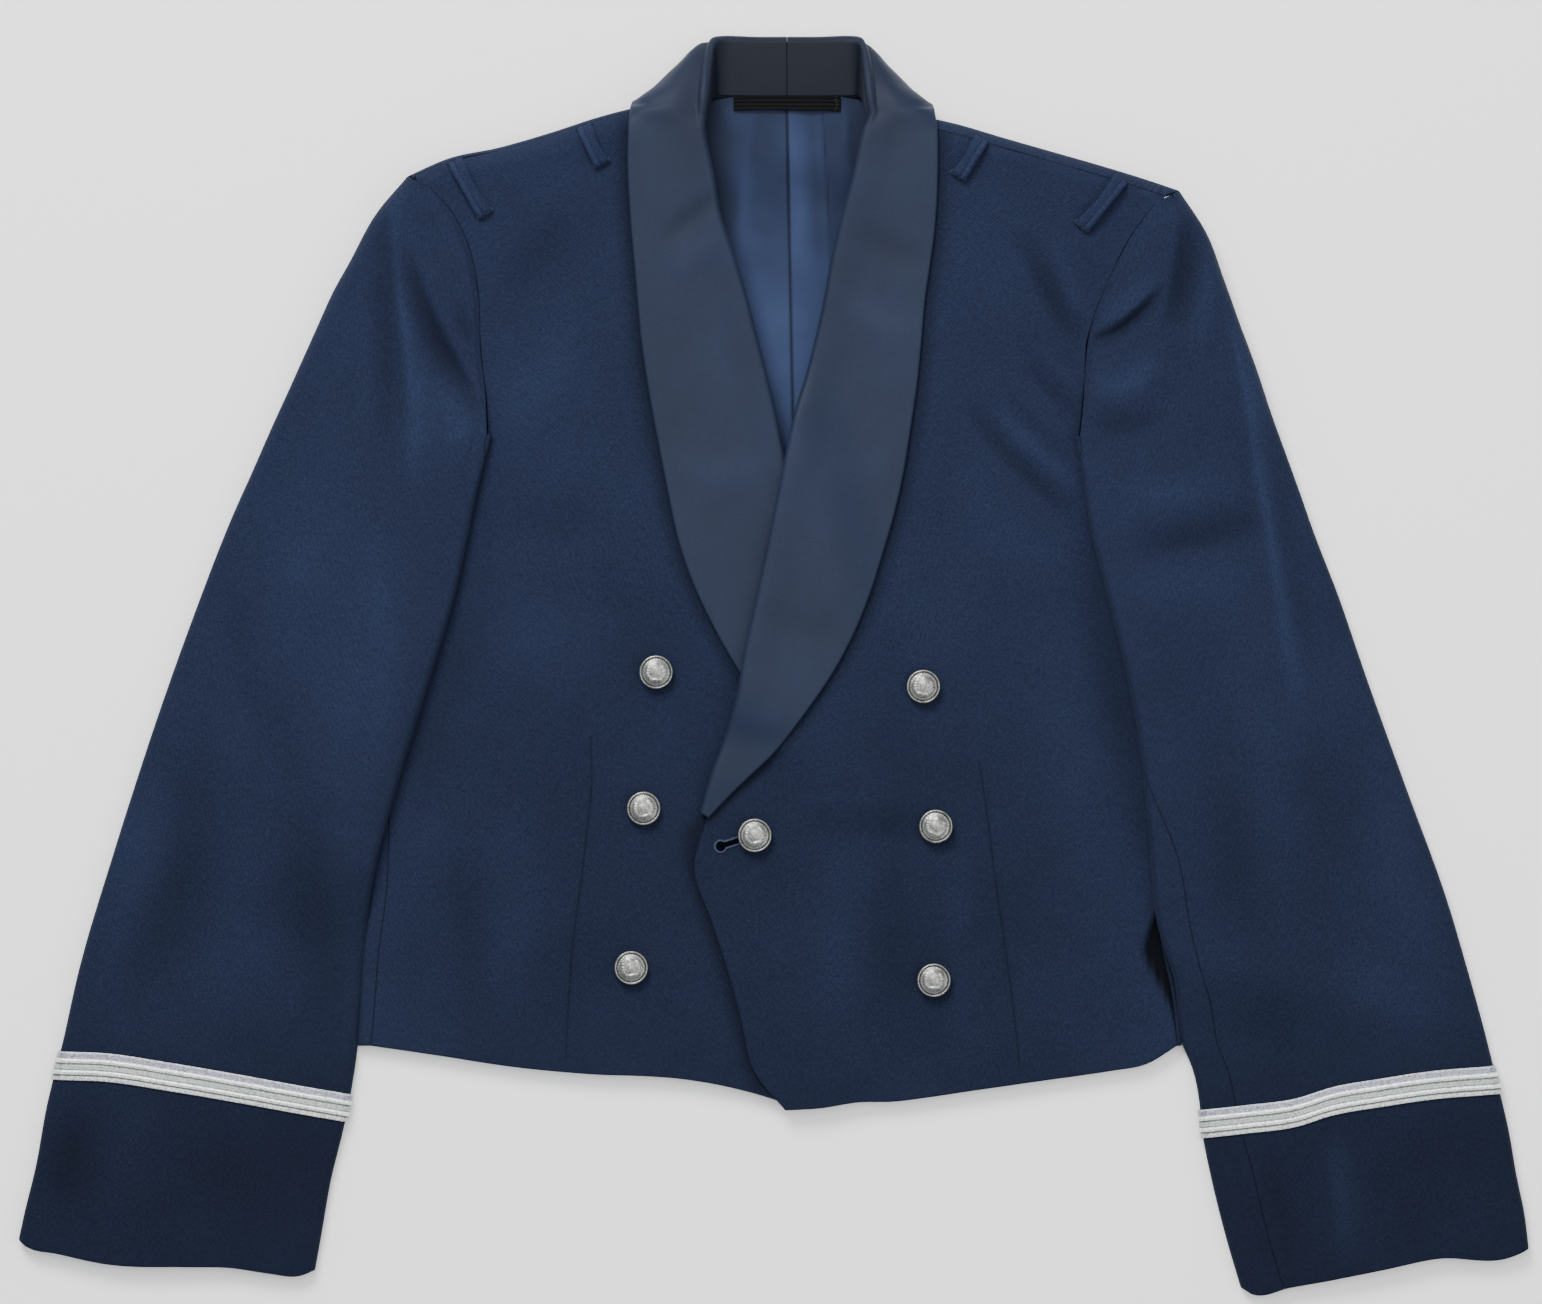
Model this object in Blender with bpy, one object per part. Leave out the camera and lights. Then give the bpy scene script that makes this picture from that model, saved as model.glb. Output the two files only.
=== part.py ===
"""Short mess-dress jacket with a satin shawl collar, laid flat on its back, fronts buttoned.

Frame: +X to the wearer's left, +Y to the collar, +Z up. The origin is on the surface that the jacket
lies on, on the centre-back line, half way between the neck seam and the hem. "right" and "left" are
the wearer's, so the right side has negative X. Tables are in millimetres; meshes are in metres.
"""

import math

import bmesh
import bpy
import numpy as np

MM = 0.001

# ---------------------------------------------------------------- driving sizes, in mm
GAP = 0.3                   # clearance where two pieces meet or lie on each other
SEAM = 0.25                 # each panel stops this far short of its seam line
BACK_CLOTH = 1.8
FRONT_CLOTH = 2.4           # wool, canvas and facing
SLEEVE_CLOTH = 1.8
COLLAR_CLOTH = 2.0
LINING_CLOTH = 1.0
LACE_CLOTH = 0.9
BUTTON_DIAMETER = 19.0      # 30 ligne
LACE_WIDTH = 16.0
LAPEL_ROLL = 3.2            # outer radius of the lapel's fold
EDGE_TO_ROLL = 5.3          # the front panel stops this far outside the lapel's fold
TIP_CLEAR = 1.2             # the body's shoulder stops this far short of the sleeve's tip
COLLAR_BED = 2.5            # the back panel lies this high over the collar's fall
BED_TOP, BED_START = 246.0, 218.0
NECK_SEAM_Y = 266.0
SHOULDER_SLOPE = math.radians(17.0)

# Height of the top of the fronts above the surface, by distance up the body.
BODY_HEIGHT = (  # y, at the side, at the centre
    (-305, 8.8, 9.6), (-250, 9.0, 11.0), (-150, 9.0, 15.0), (-50, 9.2, 18.0), (50, 10.0, 20.0),
    (80, 12.0, 20.5), (130, 17.0, 22.0), (180, 21.0, 24.0), (220, 24.0, 26.0), (280, 26.0, 26.0),
)
BODY_HALF_WIDTH = ((-305, 232), (-200, 226), (-100, 236), (0, 247), (60, 249), (220, 214), (280, 200))

# The folds that make the jacket's outline, and the seams, on each side of the wearer.
SIDE_FOLD = {  # x, y of the body's side fold, hem to underarm
    "right": ((-239, -266), (-238, -258), (-236, -211), (-233, -172), (-238, -128), (-244, -72),
              (-248, 7), (-249, 80)),
    "left": ((220.3, -266), (218.2, -246), (216.2, -232), (213.2, -214), (211.5, -200), (212, -185),
             (216, -155), (225, -100), (240, -30), (248, 20), (249, 80)),
}
SIDE_SEAM_DEPTH = {  # y, how far the side seam lies in from the fold, on top
    "right": ((-270, 8), (-209, 10), (-165, 11), (-128, 15), (-60, 10), (0, 5), (60, 3)),
    "left": ((-270, 3), (60, 3)),
}
SHOULDER_FOLD = {  # x, y of the shoulder's fold, tip to neck
    "right": ((-212, 221), (-189, 231), (-161, 237), (-133, 245), (-105, 254), (-88, 258.5), (-54, 264)),
    "left": ((54, 257), (72, 255), (84, 252.5), (91, 251), (119, 243), (147, 235), (175, 227), (198, 220), (219, 213)),
}
SHOULDER_SEAM_DEPTH = {"right": 2.0, "left": 6.0}

ARMHOLE = {  # x, y of the visible armhole seam, from its lowest front point up to the shoulder
    "right": ((-167, 77), (-168, 97), (-171, 125), (-172, 153), (-175, 172), (-181, 190), (-188, 202),
              (-199, 214)),
    "left": ((163, 76), (166, 106), (167, 127), (170, 139), (175, 152), (181, 166), (188, 181),
             (195, 192), (205, 205)),
}

HEM = {  # x, y, side to front tip
    "right": ((-226, -265), (-198, -270), (-152, -277), (-108, -281), (-64, -283), (-43, -286),
              (-24, -290), (-11, -294), (2, -298)),
    "left": ((219, -265), (204, -274), (175, -280), (147, -284), (119, -288), (91, -292), (63, -296),
             (35, -297), (10, -301), (-1, -301)),
}
FRONT_EDGE = {  # x, y, from the hem tip up to the lapel's end
    "right": ((2, -298), (9, -294), (16, -285), (22, -265), (31, -230), (40, -202), (50, -170), (53, -153),
              (50, -143)),
    "left": ((-1, -301), (-7, -297), (-15, -287), (-22, -265), (-31, -230), (-40, -202), (-50, -170),
             (-53, -153), (-51, -145), (-45.2, -138.8)),
}
LAPEL = {  # roll x, roll y, outer x, outer y, from the neck down
    "right": ((-45, 243, -88.5, 248), (-41, 224, -89, 229), (-38, 204, -88, 205), (-33, 187, -86, 180),
              (-27, 170, -84, 158), (-18, 137, -81.5, 130), (-7, 93, -75, 88), (-1, 65, -69, 57),
              (9, 26, -60, 15), (18, -17, -44, -25), (25, -49, -24, -60), (29, -73, -4, -87),
              (36, -97, 14, -104), (43, -120, 31, -123)),
    "left": ((41, 243, 84, 243), (38, 228, 84, 226), (33, 208, 83.5, 203), (27, 187, 81, 180),
             (21, 155, 77, 152), (11, 112, 73, 108), (3, 85, 69, 80), (-1, 65, 65, 55),
             (-9, 26, 55, 15), (-18, -17, 39, -31), (-25, -49, 22, -62), (-29, -73, 4, -87),
             (-36.6, -97, -12, -106), (-43, -114, -29, -122), (-46, -125, -38, -130.5),
             (-48.6, -134.5, -44, -137.5)),
}

# Sleeve stations: the cap runs from the armhole seam to the outer fold, the arm from the inner fold.
CAP = {  # seam x, seam y, outer x, outer y, back armhole x, height at the outer fold
    "right": ((-199, 214, -212, 221, -196, 24.5), (-188, 202, -231, 198, -191, 23.0),
              (-181, 190, -244, 174, -189, 21.0), (-175, 172, -254, 156, -189, 19.5),
              (-172, 153, -264, 134, -190, 18.0), (-171, 125, -278, 103, -196, 16.0),
              (-168, 97, -289, 79, -213, 14.5), (-167, 77, -300, 54, -247, 13.0)),
    "left": ((205, 205, 219, 213, 202, 24.5), (195, 192, 234, 190, 196, 23.0),
             (185, 175, 244, 164, 192, 21.0), (176, 155, 253, 139, 191, 19.5),
             (169, 135, 262, 115, 193, 18.0), (166, 110, 271, 88, 200, 16.0),
             (165, 92, 279, 66, 218, 14.5), (163, 76, 287, 44, 247, 13.0)),
}
ARM = {  # inner x, inner y, outer x, outer y, depth at the inner fold, height at the outer fold
    "right": ((-164.5, 77, -300, 54, 5.4, 13.0), (-171, 52, -309, 34, 7.0, 12.5),
              (-186, -16, -331, -22, 9.0, 11.5), (-203, -72, -349, -72, 9.6, 11.0),
              (-220, -128, -364, -117, 9.8, 10.6), (-231, -172, -377, -158, 9.8, 10.4),
              (-238, -240, -397, -226, 9.6, 10.2), (-241, -273, -405, -262, 9.4, 10.0),
              (-247, -307, -414, -298, 9.2, 10.0), (-255, -340, -420, -331, 9.0, 9.8),
              (-261, -374, -427, -360, 9.0, 9.6), (-264, -391, -430, -374, 9.0, 9.4)),
    "left": ((160.5, 76, 287, 44, 5.4, 13.0), (164, 57, 294, 24, 7.0, 12.5),
             (170, 20, 309, -15, 8.6, 11.8), (179, -15, 322, -53, 9.4, 11.4),
             (195, -86, 345, -117, 9.8, 10.8), (203, -158, 370, -186, 9.8, 10.4),
             (206, -193, 380, -220, 9.8, 10.4), (217, -232, 390, -256, 9.6, 10.2),
             (221, -264, 397, -284, 9.6, 10.2), (226, -276, 401, -300, 9.4, 10.0),
             (234, -324, 408, -337, 9.2, 10.0), (246, -374, 413, -362, 9.0, 9.8),
             (254, -401, 415, -379, 9.0, 9.4)),
}
BESIDE_BODY = {"right": (-215, -160), "left": (-262, -212)}  # y over which the inner fold comes off the body
CUFF_CURVE = {  # fraction from the inner to the outer fold, how far the cuff's edge dips below the chord
    "right": ((0, 0), (0.06, 4), (0.15, 4), (0.29, 3), (0.43, 5), (0.70, 8), (0.87, 5), (0.97, 3), (1, 0)),
    "left": ((0, 0), (0.04, 4), (0.17, 3), (0.31, 2), (0.50, 0), (0.68, -2), (0.93, 3), (1, 0)),
}
FOREARM_SEAM = {  # y, how far the forearm seam lies in from the inner fold: + on top, - underneath
    "right": ((-400, -7), (40, -7), (77, 2)),
    "left": ((-400, 24), (-371, 24), (-327, 24), (-294, 20.5), (-268, 20.5), (-245, 19.5), (-222, 17), (-201, 18.5),
             (-156, 15), (-117, 2), (-60, -7), (40, -7), (76, 2)),
}
HINDARM_TUCK = 8.0          # the top sleeve ends this far past the outer fold, underneath
CAP_ROPE = 2.2              # fullness of the sleeve head over the seam
ARM_SWELL = 2.5
BODY_CLEAR = 1.2            # the under sleeve lies this far above the body
SLEEVE_HOLLOW = 2.6         # least height inside the sleeve where it crosses the body
SOFTEN = 2.0
CAP_STATIONS = np.linspace(0, 1, 8)[:-1]
ARM_STATIONS = np.concatenate([[1.0, 1.03, 1.065], np.linspace(1.12, 2.0, 12)])
UNDERARM_COLUMN = 6         # the under sleeve's column that starts at the underarm
LAPEL_REST = 1.1            # the lapel's outer edge lies this far above the front

# The collar from the centre back to the neck side, as points on the outer face of its fold.
COLLAR_BACK = (
    # seam, roll, bulge direction, fall: over, fold, under, outer edge, then fold radius and share of drop
    (0, 266.4, 7.2, 0, 299.5, 4.1, 0, 1, 0, 0, 289, 0, 0, 280, 0, 0, 268, 0, 0, 254, 0, 4.1, 0),
    (-18, 266.4, 7.2, -18, 299.5, 4.1, 0, 1, 0, -18, 289, 0, -18, 280, 0, -18, 268, 0, -18, 254, 0, 4.1, 0),
    (-33, 266.6, 7.3, -35, 300, 5.0, 0, 1, 0.1, -37, 291, 0, -38, 281, 0, -38, 268, 0, -38, 254, 0, 4.1, 0),
    (-38.5, 266.8, 8.6, -42, 297.5, 10, -0.2, 0.8, 0.6, -47.5, 296, 5.5, -51, 291, 1, -52, 276, 0,
     -53, 254, 0, 3.7, 0.5),
    (-41, 265, 9.4, -44.2, 288, 19, -0.15, 0.4, 0.9, -54, 288, 15.5, -61, 284, 6, -65, 270, 0.2,
     -68, 253, 0, 3.4, 1),
    (-43, 261, 10.5, -45.4, 276, 26, 0, 0.15, 1, -60, 276, 23, -73, 272.5, 12, -76, 265, 1.8,
     -78, 254, 0, 3.2, 1),
    (-44.5, 256, 14.5, -45.6, 264, 29.5, 0.3, 0.05, 0.9, -65, 265.5, 28.5, -80, 265, 22, -84.5, 263.8, 14,
     -86, 263, 9, 3.2, 1),
    (-47.5, 250, 19.5, -45.4, 254, 28.5, 0.8, 0, 0.6, -65, 256, 30.3, -77, 257, 29.6, -83, 257.3, 27.6,
     -88, 257.6, 23.8, 3.2, 1),
)
LEFT_COLLAR_WIDTH, LEFT_COLLAR_DROP = 0.94, 1.5

BUTTONS = (  # x, y
    (-73, -56), (-80, -132), (-87, -221), (76, -64), (83, -142), (82, -228), (-18, -147),
)
SHOULDER_LOOPS = {  # x, y at the shoulder end, x, y at the other end
    "right_outer": (-185, 229, -168, 199), "right_inner": (-113, 248, -103, 227),
    "left_inner": (108, 241, 95, 220), "left_outer": (186, 219, 164, 192),
}
LOOP_WIDTH, LOOP_THICK, LOOP_LIFT = 6.0, 1.4, 1.2
LACE_TOP = {  # x, y of the braid's upper edge, inner fold to outer fold
    "right": ((-244, -292), (-278, -286), (-305, -281), (-346, -274), (-380, -269), (-407, -268)),
    "left": ((229, -301), (256, -298), (285, -294), (304, -288), (332, -283), (359, -279), (396, -276)),
}
HANGER_LENGTH, HANGER_WIDTH = 60.0, 8.0

NAVY, SATIN = (0.016, 0.027, 0.066), (0.032, 0.045, 0.085)
LINING_BLUE, SILVER, BLACK = (0.055, 0.095, 0.22), (0.55, 0.55, 0.52), (0.01, 0.01, 0.014)
SIDES = {"right": -1, "left": 1}


# ---------------------------------------------------------------- curves and heights
def smooth(start, end, value):
    """0 before start, 1 after end, an S between."""
    t = np.clip((value - start) / (end - start), 0, 1)
    return t * t * (3 - 2 * t)


def look_up(rows, value, column=1):
    """The column's value at this first-column value, on a smooth curve through the rows."""
    table = np.array(rows, float)
    table = table[np.argsort(table[:, 0], kind="stable")]
    x, y = table[:, 0], table[:, column]
    slopes = np.gradient(y, x)
    i = np.clip(np.searchsorted(x, value) - 1, 0, len(x) - 2)
    step = x[i + 1] - x[i]
    t = np.clip((value - x[i]) / step, 0, 1)
    rise = (2 * t ** 3 - 3 * t ** 2 + 1) * y[i] + (3 * t ** 2 - 2 * t ** 3) * y[i + 1]
    return rise + step * ((t ** 3 - 2 * t ** 2 + t) * slopes[i] + (t ** 3 - t ** 2) * slopes[i + 1])


def spline(rows, fractions=None, count=None):
    """Points on a smooth curve through the rows, by share of the rows' own length."""
    points = np.array(rows, float)
    steps = np.linalg.norm(np.diff(points[:, :2], axis=0), axis=1)
    at = np.concatenate([[0], np.cumsum(np.maximum(steps, 1e-6))])
    where = np.linspace(0, 1, count) if fractions is None else np.asarray(fractions, float)
    rows_at = [np.column_stack([at, points[:, k]]) for k in range(points.shape[1])]
    return np.column_stack([look_up(column, where * at[-1]) for column in rows_at])


def joined(*parts):
    """One border from several stretches of points, without the doubled corner points."""
    return np.vstack([parts[0]] + [part[1:] for part in parts[1:]])


def coons(bottom, top, left, right):
    """Grid of points between four borders: bottom and top run along u, left and right along v."""
    u = np.linspace(0, 1, len(bottom))[None, :, None]
    v = np.linspace(0, 1, len(left))[:, None, None]
    ruled = (1 - u) * left[:, None] + u * right[:, None] + (1 - v) * bottom[None] + v * top[None]
    corners = (1 - v) * ((1 - u) * bottom[0] + u * bottom[-1]) + v * ((1 - u) * top[0] + u * top[-1])
    return ruled - corners


def body_height(x, y):
    """Top of the fronts where nothing lies under them but the back."""
    side, centre = look_up(BODY_HEIGHT, y, 1), look_up(BODY_HEIGHT, y, 2)
    across = np.abs(x) / look_up(BODY_HALF_WIDTH, y)
    return side + (centre - side) * (1 - smooth(0.45, 1.0, across))


def back_bed(x, y):
    """Height of the back panel's underside: flat on the surface, and raised over the collar's fall."""
    return COLLAR_BED * smooth(BED_START, BED_TOP, y) * (1 - smooth(96, 130, np.abs(x)))


def dome(depth, radius):
    """Share of the full height at this depth inside a round fold."""
    t = np.clip(depth / radius, 0, 1)
    return np.sqrt(1 - (1 - t) ** 2)


def unroll(depth, radius, face):
    """Length along the cloth from the fold's outermost line: + on top, - underneath."""
    near = radius * np.arccos(np.clip(1 - depth / radius, -1, 1))
    return face * np.where(depth < radius, near, radius * math.pi / 2 + depth - radius)


def roll(length, radius):
    """Depth inside the fold and share of the half height, for a length along the cloth."""
    turn = np.clip(length / radius, -math.pi / 2, math.pi / 2)
    over = np.maximum(np.abs(length) - radius * math.pi / 2, 0)
    return radius * (1 - np.cos(turn)) + over, np.sin(turn)


def side_fold_x(side, y):
    return look_up([(py, px) for px, py in SIDE_FOLD[side]], y)


def shoulder_fold_y(x):
    rows = SHOULDER_FOLD["right"] + SHOULDER_FOLD["left"]
    return look_up(rows, x)


def body_side_depth(x, y):
    """Distance in from the nearer side fold."""
    return np.minimum(x - side_fold_x("right", y), side_fold_x("left", y) - x)


def side_radius(side, y):
    return body_height(side_fold_x(side, y), y) / 2


def shoulder_radius(x):
    fold_y = shoulder_fold_y(x)
    return (body_height(x, fold_y) - back_bed(x, fold_y)) / 2


def body_top(x, y):
    """Outer face of the fronts, down to the folds."""
    low, high = back_bed(x, y), body_height(x, y)
    side = np.where(x < 0, side_radius("right", y), side_radius("left", y))
    edge = dome(body_side_depth(x, y), side)
    shoulder = dome((shoulder_fold_y(x) - y) * math.cos(SHOULDER_SLOPE), shoulder_radius(x))
    return (low + high) / 2 + (high - low) / 2 * edge * shoulder


def lapel_rows(side):
    return np.array(LAPEL[side], float)


def lapel_line(side, y, column):
    """x of the roll (column 0) or the outer edge (column 2) at this y."""
    rows = lapel_rows(side)
    return look_up([(row[column + 1], row[column]) for row in rows], y)


def under_front(x, y):
    """How far the left front is lifted by the right front and lapel that lie under it."""
    edge_rows = [(py, px) for px, py in FRONT_EDGE["right"][1:]] + [(r[1], r[0]) for r in LAPEL["right"][::-1]]
    past_edge = x - look_up(edge_rows, y)
    front = 1 - smooth(6, 48, past_edge)
    from_outer = x - lapel_line("right", y, 2)
    lapel = (1 - smooth(6, 52, past_edge)) * smooth(-34, -2, from_outer)
    lapel = lapel * smooth(-152, -128, y) * (1 - smooth(72, 132, y))
    front = front * (1 - smooth(72, 132, y))
    return (FRONT_CLOTH + GAP + 0.4) * front + 5.2 * lapel


def left_top(x, y):
    return body_top(x, y) + under_front(x, y)


FRONT_TOP = {"right": body_top, "left": left_top}
TOP_ROWS = (0, 0.4, 0.75, 1)


# ---------------------------------------------------------------- walls
def face_normals(surface, a, b):
    """Unit normals of a surface given as surface(a, b), by small steps either way."""
    step = 0.05
    along_a = surface(a + step, b) - surface(a - step, b)
    along_b = surface(a, b + step) - surface(a, b - step)
    normal = np.cross(along_a, along_b)
    return normal / np.maximum(np.linalg.norm(normal, axis=-1, keepdims=True), 1e-12)


def stand_upright(normals, line):
    """Normals turned so that the wall's end face stands straight up along a line of points."""
    along = np.gradient(line[:, :2], axis=0)
    across = np.column_stack([-along[:, 1], along[:, 0], np.zeros(len(line))])
    across /= np.maximum(np.linalg.norm(across, axis=1, keepdims=True), 1e-9)
    kept = normals - (normals * across).sum(axis=1, keepdims=True) * across
    return kept / np.linalg.norm(kept, axis=1, keepdims=True)


def material(name, colour, roughness, metallic=0.0):
    made = bpy.data.materials.get(name) or bpy.data.materials.new(name)
    made.use_nodes = True
    shader = made.node_tree.nodes["Principled BSDF"]
    shader.inputs["Base Color"].default_value = (*colour, 1)
    shader.inputs["Roughness"].default_value = roughness
    shader.inputs["Metallic"].default_value = metallic
    return made


def add_object(name, mesh, finish):
    mesh.materials.append(finish)
    mesh.shade_smooth()
    mesh.set_sharp_from_angle(angle=math.radians(50))
    made = bpy.data.objects.new(name, mesh)
    bpy.context.scene.collection.objects.link(made)
    return made


def wall(name, outer, inner, finish, keep=None):
    """A closed wall between two grids of points in mm; keep says which cells of the grid are cloth."""
    rows, columns = outer.shape[:2]
    if keep is None:
        keep = np.ones((rows - 1, columns - 1), bool)
    index = np.arange(rows * columns).reshape(rows, columns)
    cells = np.argwhere(keep)
    faces, edges = [], {}
    for r, c in cells:
        ring = [index[r, c], index[r, c + 1], index[r + 1, c + 1], index[r + 1, c]]
        faces.append([int(i) for i in ring])
        faces.append([int(i) + rows * columns for i in reversed(ring)])
        for start, end in zip(ring, ring[1:] + ring[:1]):
            edges[(int(start), int(end))] = True
    for start, end in edges:
        if (end, start) not in edges:
            faces.append([end, start, start + rows * columns, end + rows * columns])
    points = np.vstack([outer.reshape(-1, 3), inner.reshape(-1, 3)]) * MM
    used = sorted({i for face in faces for i in face})
    place = {old: new for new, old in enumerate(used)}
    mesh = bpy.data.meshes.new(name)
    mesh.from_pydata([tuple(points[i]) for i in used], [], [[place[i] for i in face] for face in faces])
    mesh.validate()
    shape = bmesh.new()
    shape.from_mesh(mesh)
    bmesh.ops.recalc_face_normals(shape, faces=shape.faces)
    bmesh.ops.triangulate(shape, faces=shape.faces)
    shape.to_mesh(mesh)
    shape.free()
    return add_object(name, mesh, finish)


# ---------------------------------------------------------------- back and lining
def back_shoulder_fold_y(x):
    """The fold that the back wraps round: the shoulder's, moved out of the way inside the neck."""
    return shoulder_fold_y(x) + 30.0 * (1 - smooth(50, 66, np.abs(x)))


def back_surface(px, py):
    """The back's outer face from its flat pattern: over the side folds and the shoulders' folds."""
    side_x = np.where(px < 0, -side_fold_x("right", py), side_fold_x("left", py))
    radius = np.where(px < 0, side_radius("right", py), side_radius("left", py))
    length = np.abs(px) - side_x + radius - radius * math.pi / 2
    depth, side_share = roll(length, radius)
    x = np.sign(px) * (side_x - depth)
    fold_y = back_shoulder_fold_y(x)
    slope = math.cos(SHOULDER_SLOPE)
    top_radius = shoulder_radius(x)
    length = (py - fold_y) * slope + top_radius - top_radius * math.pi / 2
    depth, top_share = roll(length, top_radius)
    y = fold_y - depth / slope
    low, high = back_bed(x, y), body_height(x, y)
    share = np.maximum(side_share, top_share)
    return np.stack([x, y, (low + high) / 2 + (high - low) / 2 * share], axis=-1)


def shoulder_pattern_y(x, depth, face):
    """Pattern y of a place on the back, given its depth inside the shoulder fold and its face."""
    radius = shoulder_radius(x)
    length = unroll(depth, radius, face)
    return back_shoulder_fold_y(x) + (length - radius + radius * math.pi / 2) / math.cos(SHOULDER_SLOPE)


def side_pattern_x(side, y, depth, face):
    radius = side_radius(side, y)
    length = unroll(depth, radius, face)
    return SIDES[side] * (np.abs(side_fold_x(side, y)) + length - radius + radius * math.pi / 2)


def back_armhole(side, stations):
    """Points of the back armhole seam at stations of the sleeve's cap."""
    rows = spline(np.array(CAP[side], float)[:, :5], fractions=stations)
    share = (rows[:, 4] - rows[:, 0]) / (rows[:, 2] - rows[:, 0])
    return np.column_stack([rows[:, 4], rows[:, 1] + share * (rows[:, 3] - rows[:, 1])])


def shoulder_end_x(side, depth):
    """x at which the back ends beside the sleeve's tip, at this depth inside the shoulder's fold."""
    fold, armhole = CAP[side][0][2] - SIDES[side] * TIP_CLEAR, CAP[side][0][4] - SIDES[side] * SEAM
    return fold + (armhole - fold) * min(depth / (float(shoulder_radius(fold)) * 1.05), 1)


def shoulder_columns(side):
    """x of the shoulder seam's points, tip to neck, for the back and the front alike."""
    tip = shoulder_end_x(side, SHOULDER_SEAM_DEPTH[side])
    inset = tip - SIDES[side] * 22.0
    return np.concatenate([np.linspace(tip, inset, 5), np.linspace(inset, SIDES[side] * 68.0, 6)[1:]])


def shoulder_seam(side, x, offset):
    """Pattern y of the back's shoulder border, at the seam line or short of it."""
    return shoulder_pattern_y(x, SHOULDER_SEAM_DEPTH[side] + offset, 1)


def back_side_border(side):
    """Side seam and back armhole, hem to shoulder tip, in the flat pattern."""
    seam_y = np.linspace(-265, 20, 8)
    depth = look_up(SIDE_SEAM_DEPTH[side], seam_y) - SEAM
    seam = np.column_stack([side_pattern_x(side, seam_y, depth, 1), seam_y])
    end_x = side_pattern_x(side, 56.0, side_radius(side, 56.0), -1)
    turn = np.column_stack([np.linspace(seam[-1, 0], end_x, 4), np.linspace(20, 56, 4)])
    armhole = back_armhole(side, CAP_STATIONS[::-1]) - np.array([SIDES[side] * SEAM, 0])
    radius = shoulder_radius(CAP[side][0][2])
    last = unroll(SHOULDER_SEAM_DEPTH[side] - SEAM, radius, 1)
    over = []
    for length in np.linspace(-radius * math.pi / 2, last, 6)[1:]:
        depth, _ = roll(length, radius)
        x = shoulder_end_x(side, depth)
        over.append((x, shoulder_pattern_y(x, depth, np.sign(length))))
    tip_x = shoulder_columns(side)[0]
    over[-1] = (tip_x, float(shoulder_seam(side, tip_x, -SEAM)))
    return joined(seam, turn, np.vstack([turn[-1], armhole]), np.vstack([armhole[-1], over]))


def back_grid():
    """The back's flat pattern as a grid of points."""
    left, right = back_side_border("left"), back_side_border("right")
    top_x = np.concatenate([
        shoulder_columns("right"), np.linspace(-68, -50, 5)[1:], np.linspace(-50, 50, 4)[1:],
        np.linspace(50, 68, 5)[1:-1], shoulder_columns("left")[::-1]])
    hem_y = ((-232, -265), (-120, -270), (0, -276), (120, -270), (215, -265))
    hem_x = np.concatenate([np.linspace(right[0, 0], -215, 6), np.linspace(-215, 180, len(top_x) - 10)[1:],
                            np.linspace(180, left[0, 0], 6)[1:]])
    hem = np.column_stack([hem_x, look_up(hem_y, np.clip(hem_x, -232, 215))])
    seam_y = np.where(top_x < 0, shoulder_seam("right", top_x, -SEAM), shoulder_seam("left", top_x, -SEAM))
    in_neck = 1 - smooth(50, 67, np.abs(top_x))
    top = np.column_stack([top_x, seam_y * (1 - in_neck) + (NECK_SEAM_Y - SEAM) * in_neck])
    return coons(hem, top, right, left)


def make_back():
    grid = back_grid()
    outer = back_surface(grid[..., 0], grid[..., 1])
    inner = outer + face_normals(back_surface, grid[..., 0], grid[..., 1]) * BACK_CLOTH
    return wall("back", outer, inner, material("navy_wool", NAVY, 0.85))


def make_back_lining():
    """Satin lining of the back, from the neck seam to just above the hem, flat on the back's inner face."""
    sides = []
    for side in ("right", "left"):
        lower = [(side_fold_x(side, y) - SIDES[side] * 14.0, y) for y in np.linspace(-256, 40, 7)]
        upper = [(SIDES[side] * x, y) for x, y in ((205, 90), (178, 130), (176, 180), (186, 196))]
        sides.append(np.array([(float(x), y) for x, y in lower + upper]))
    hem = spline(((sides[0][0, 0], -256), (0, -264), (sides[1][0, 0], -256)), count=13)
    shoulders = ((-186, 196), (-130, 222), (-80, 236), (-52, 250), (-44, 262), (-30, NECK_SEAM_Y - GAP),
                 (0, NECK_SEAM_Y - GAP))
    shoulders += tuple((-x, y) for x, y in shoulders[-2::-1])
    grid = coons(hem, np.array(shoulders, float), sides[0], sides[1])
    x, y = grid[..., 0], grid[..., 1]
    bed = COLLAR_BED * smooth(BED_START - 18, BED_TOP - 10, y) * (1 - smooth(104, 140, np.abs(x)))
    low = np.stack([x, y, bed + BACK_CLOTH + GAP], axis=-1)
    high = low + np.array([0, 0, LINING_CLOTH])
    return wall("back_lining", low, high, material("lining_satin", LINING_BLUE, 0.35))


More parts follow.
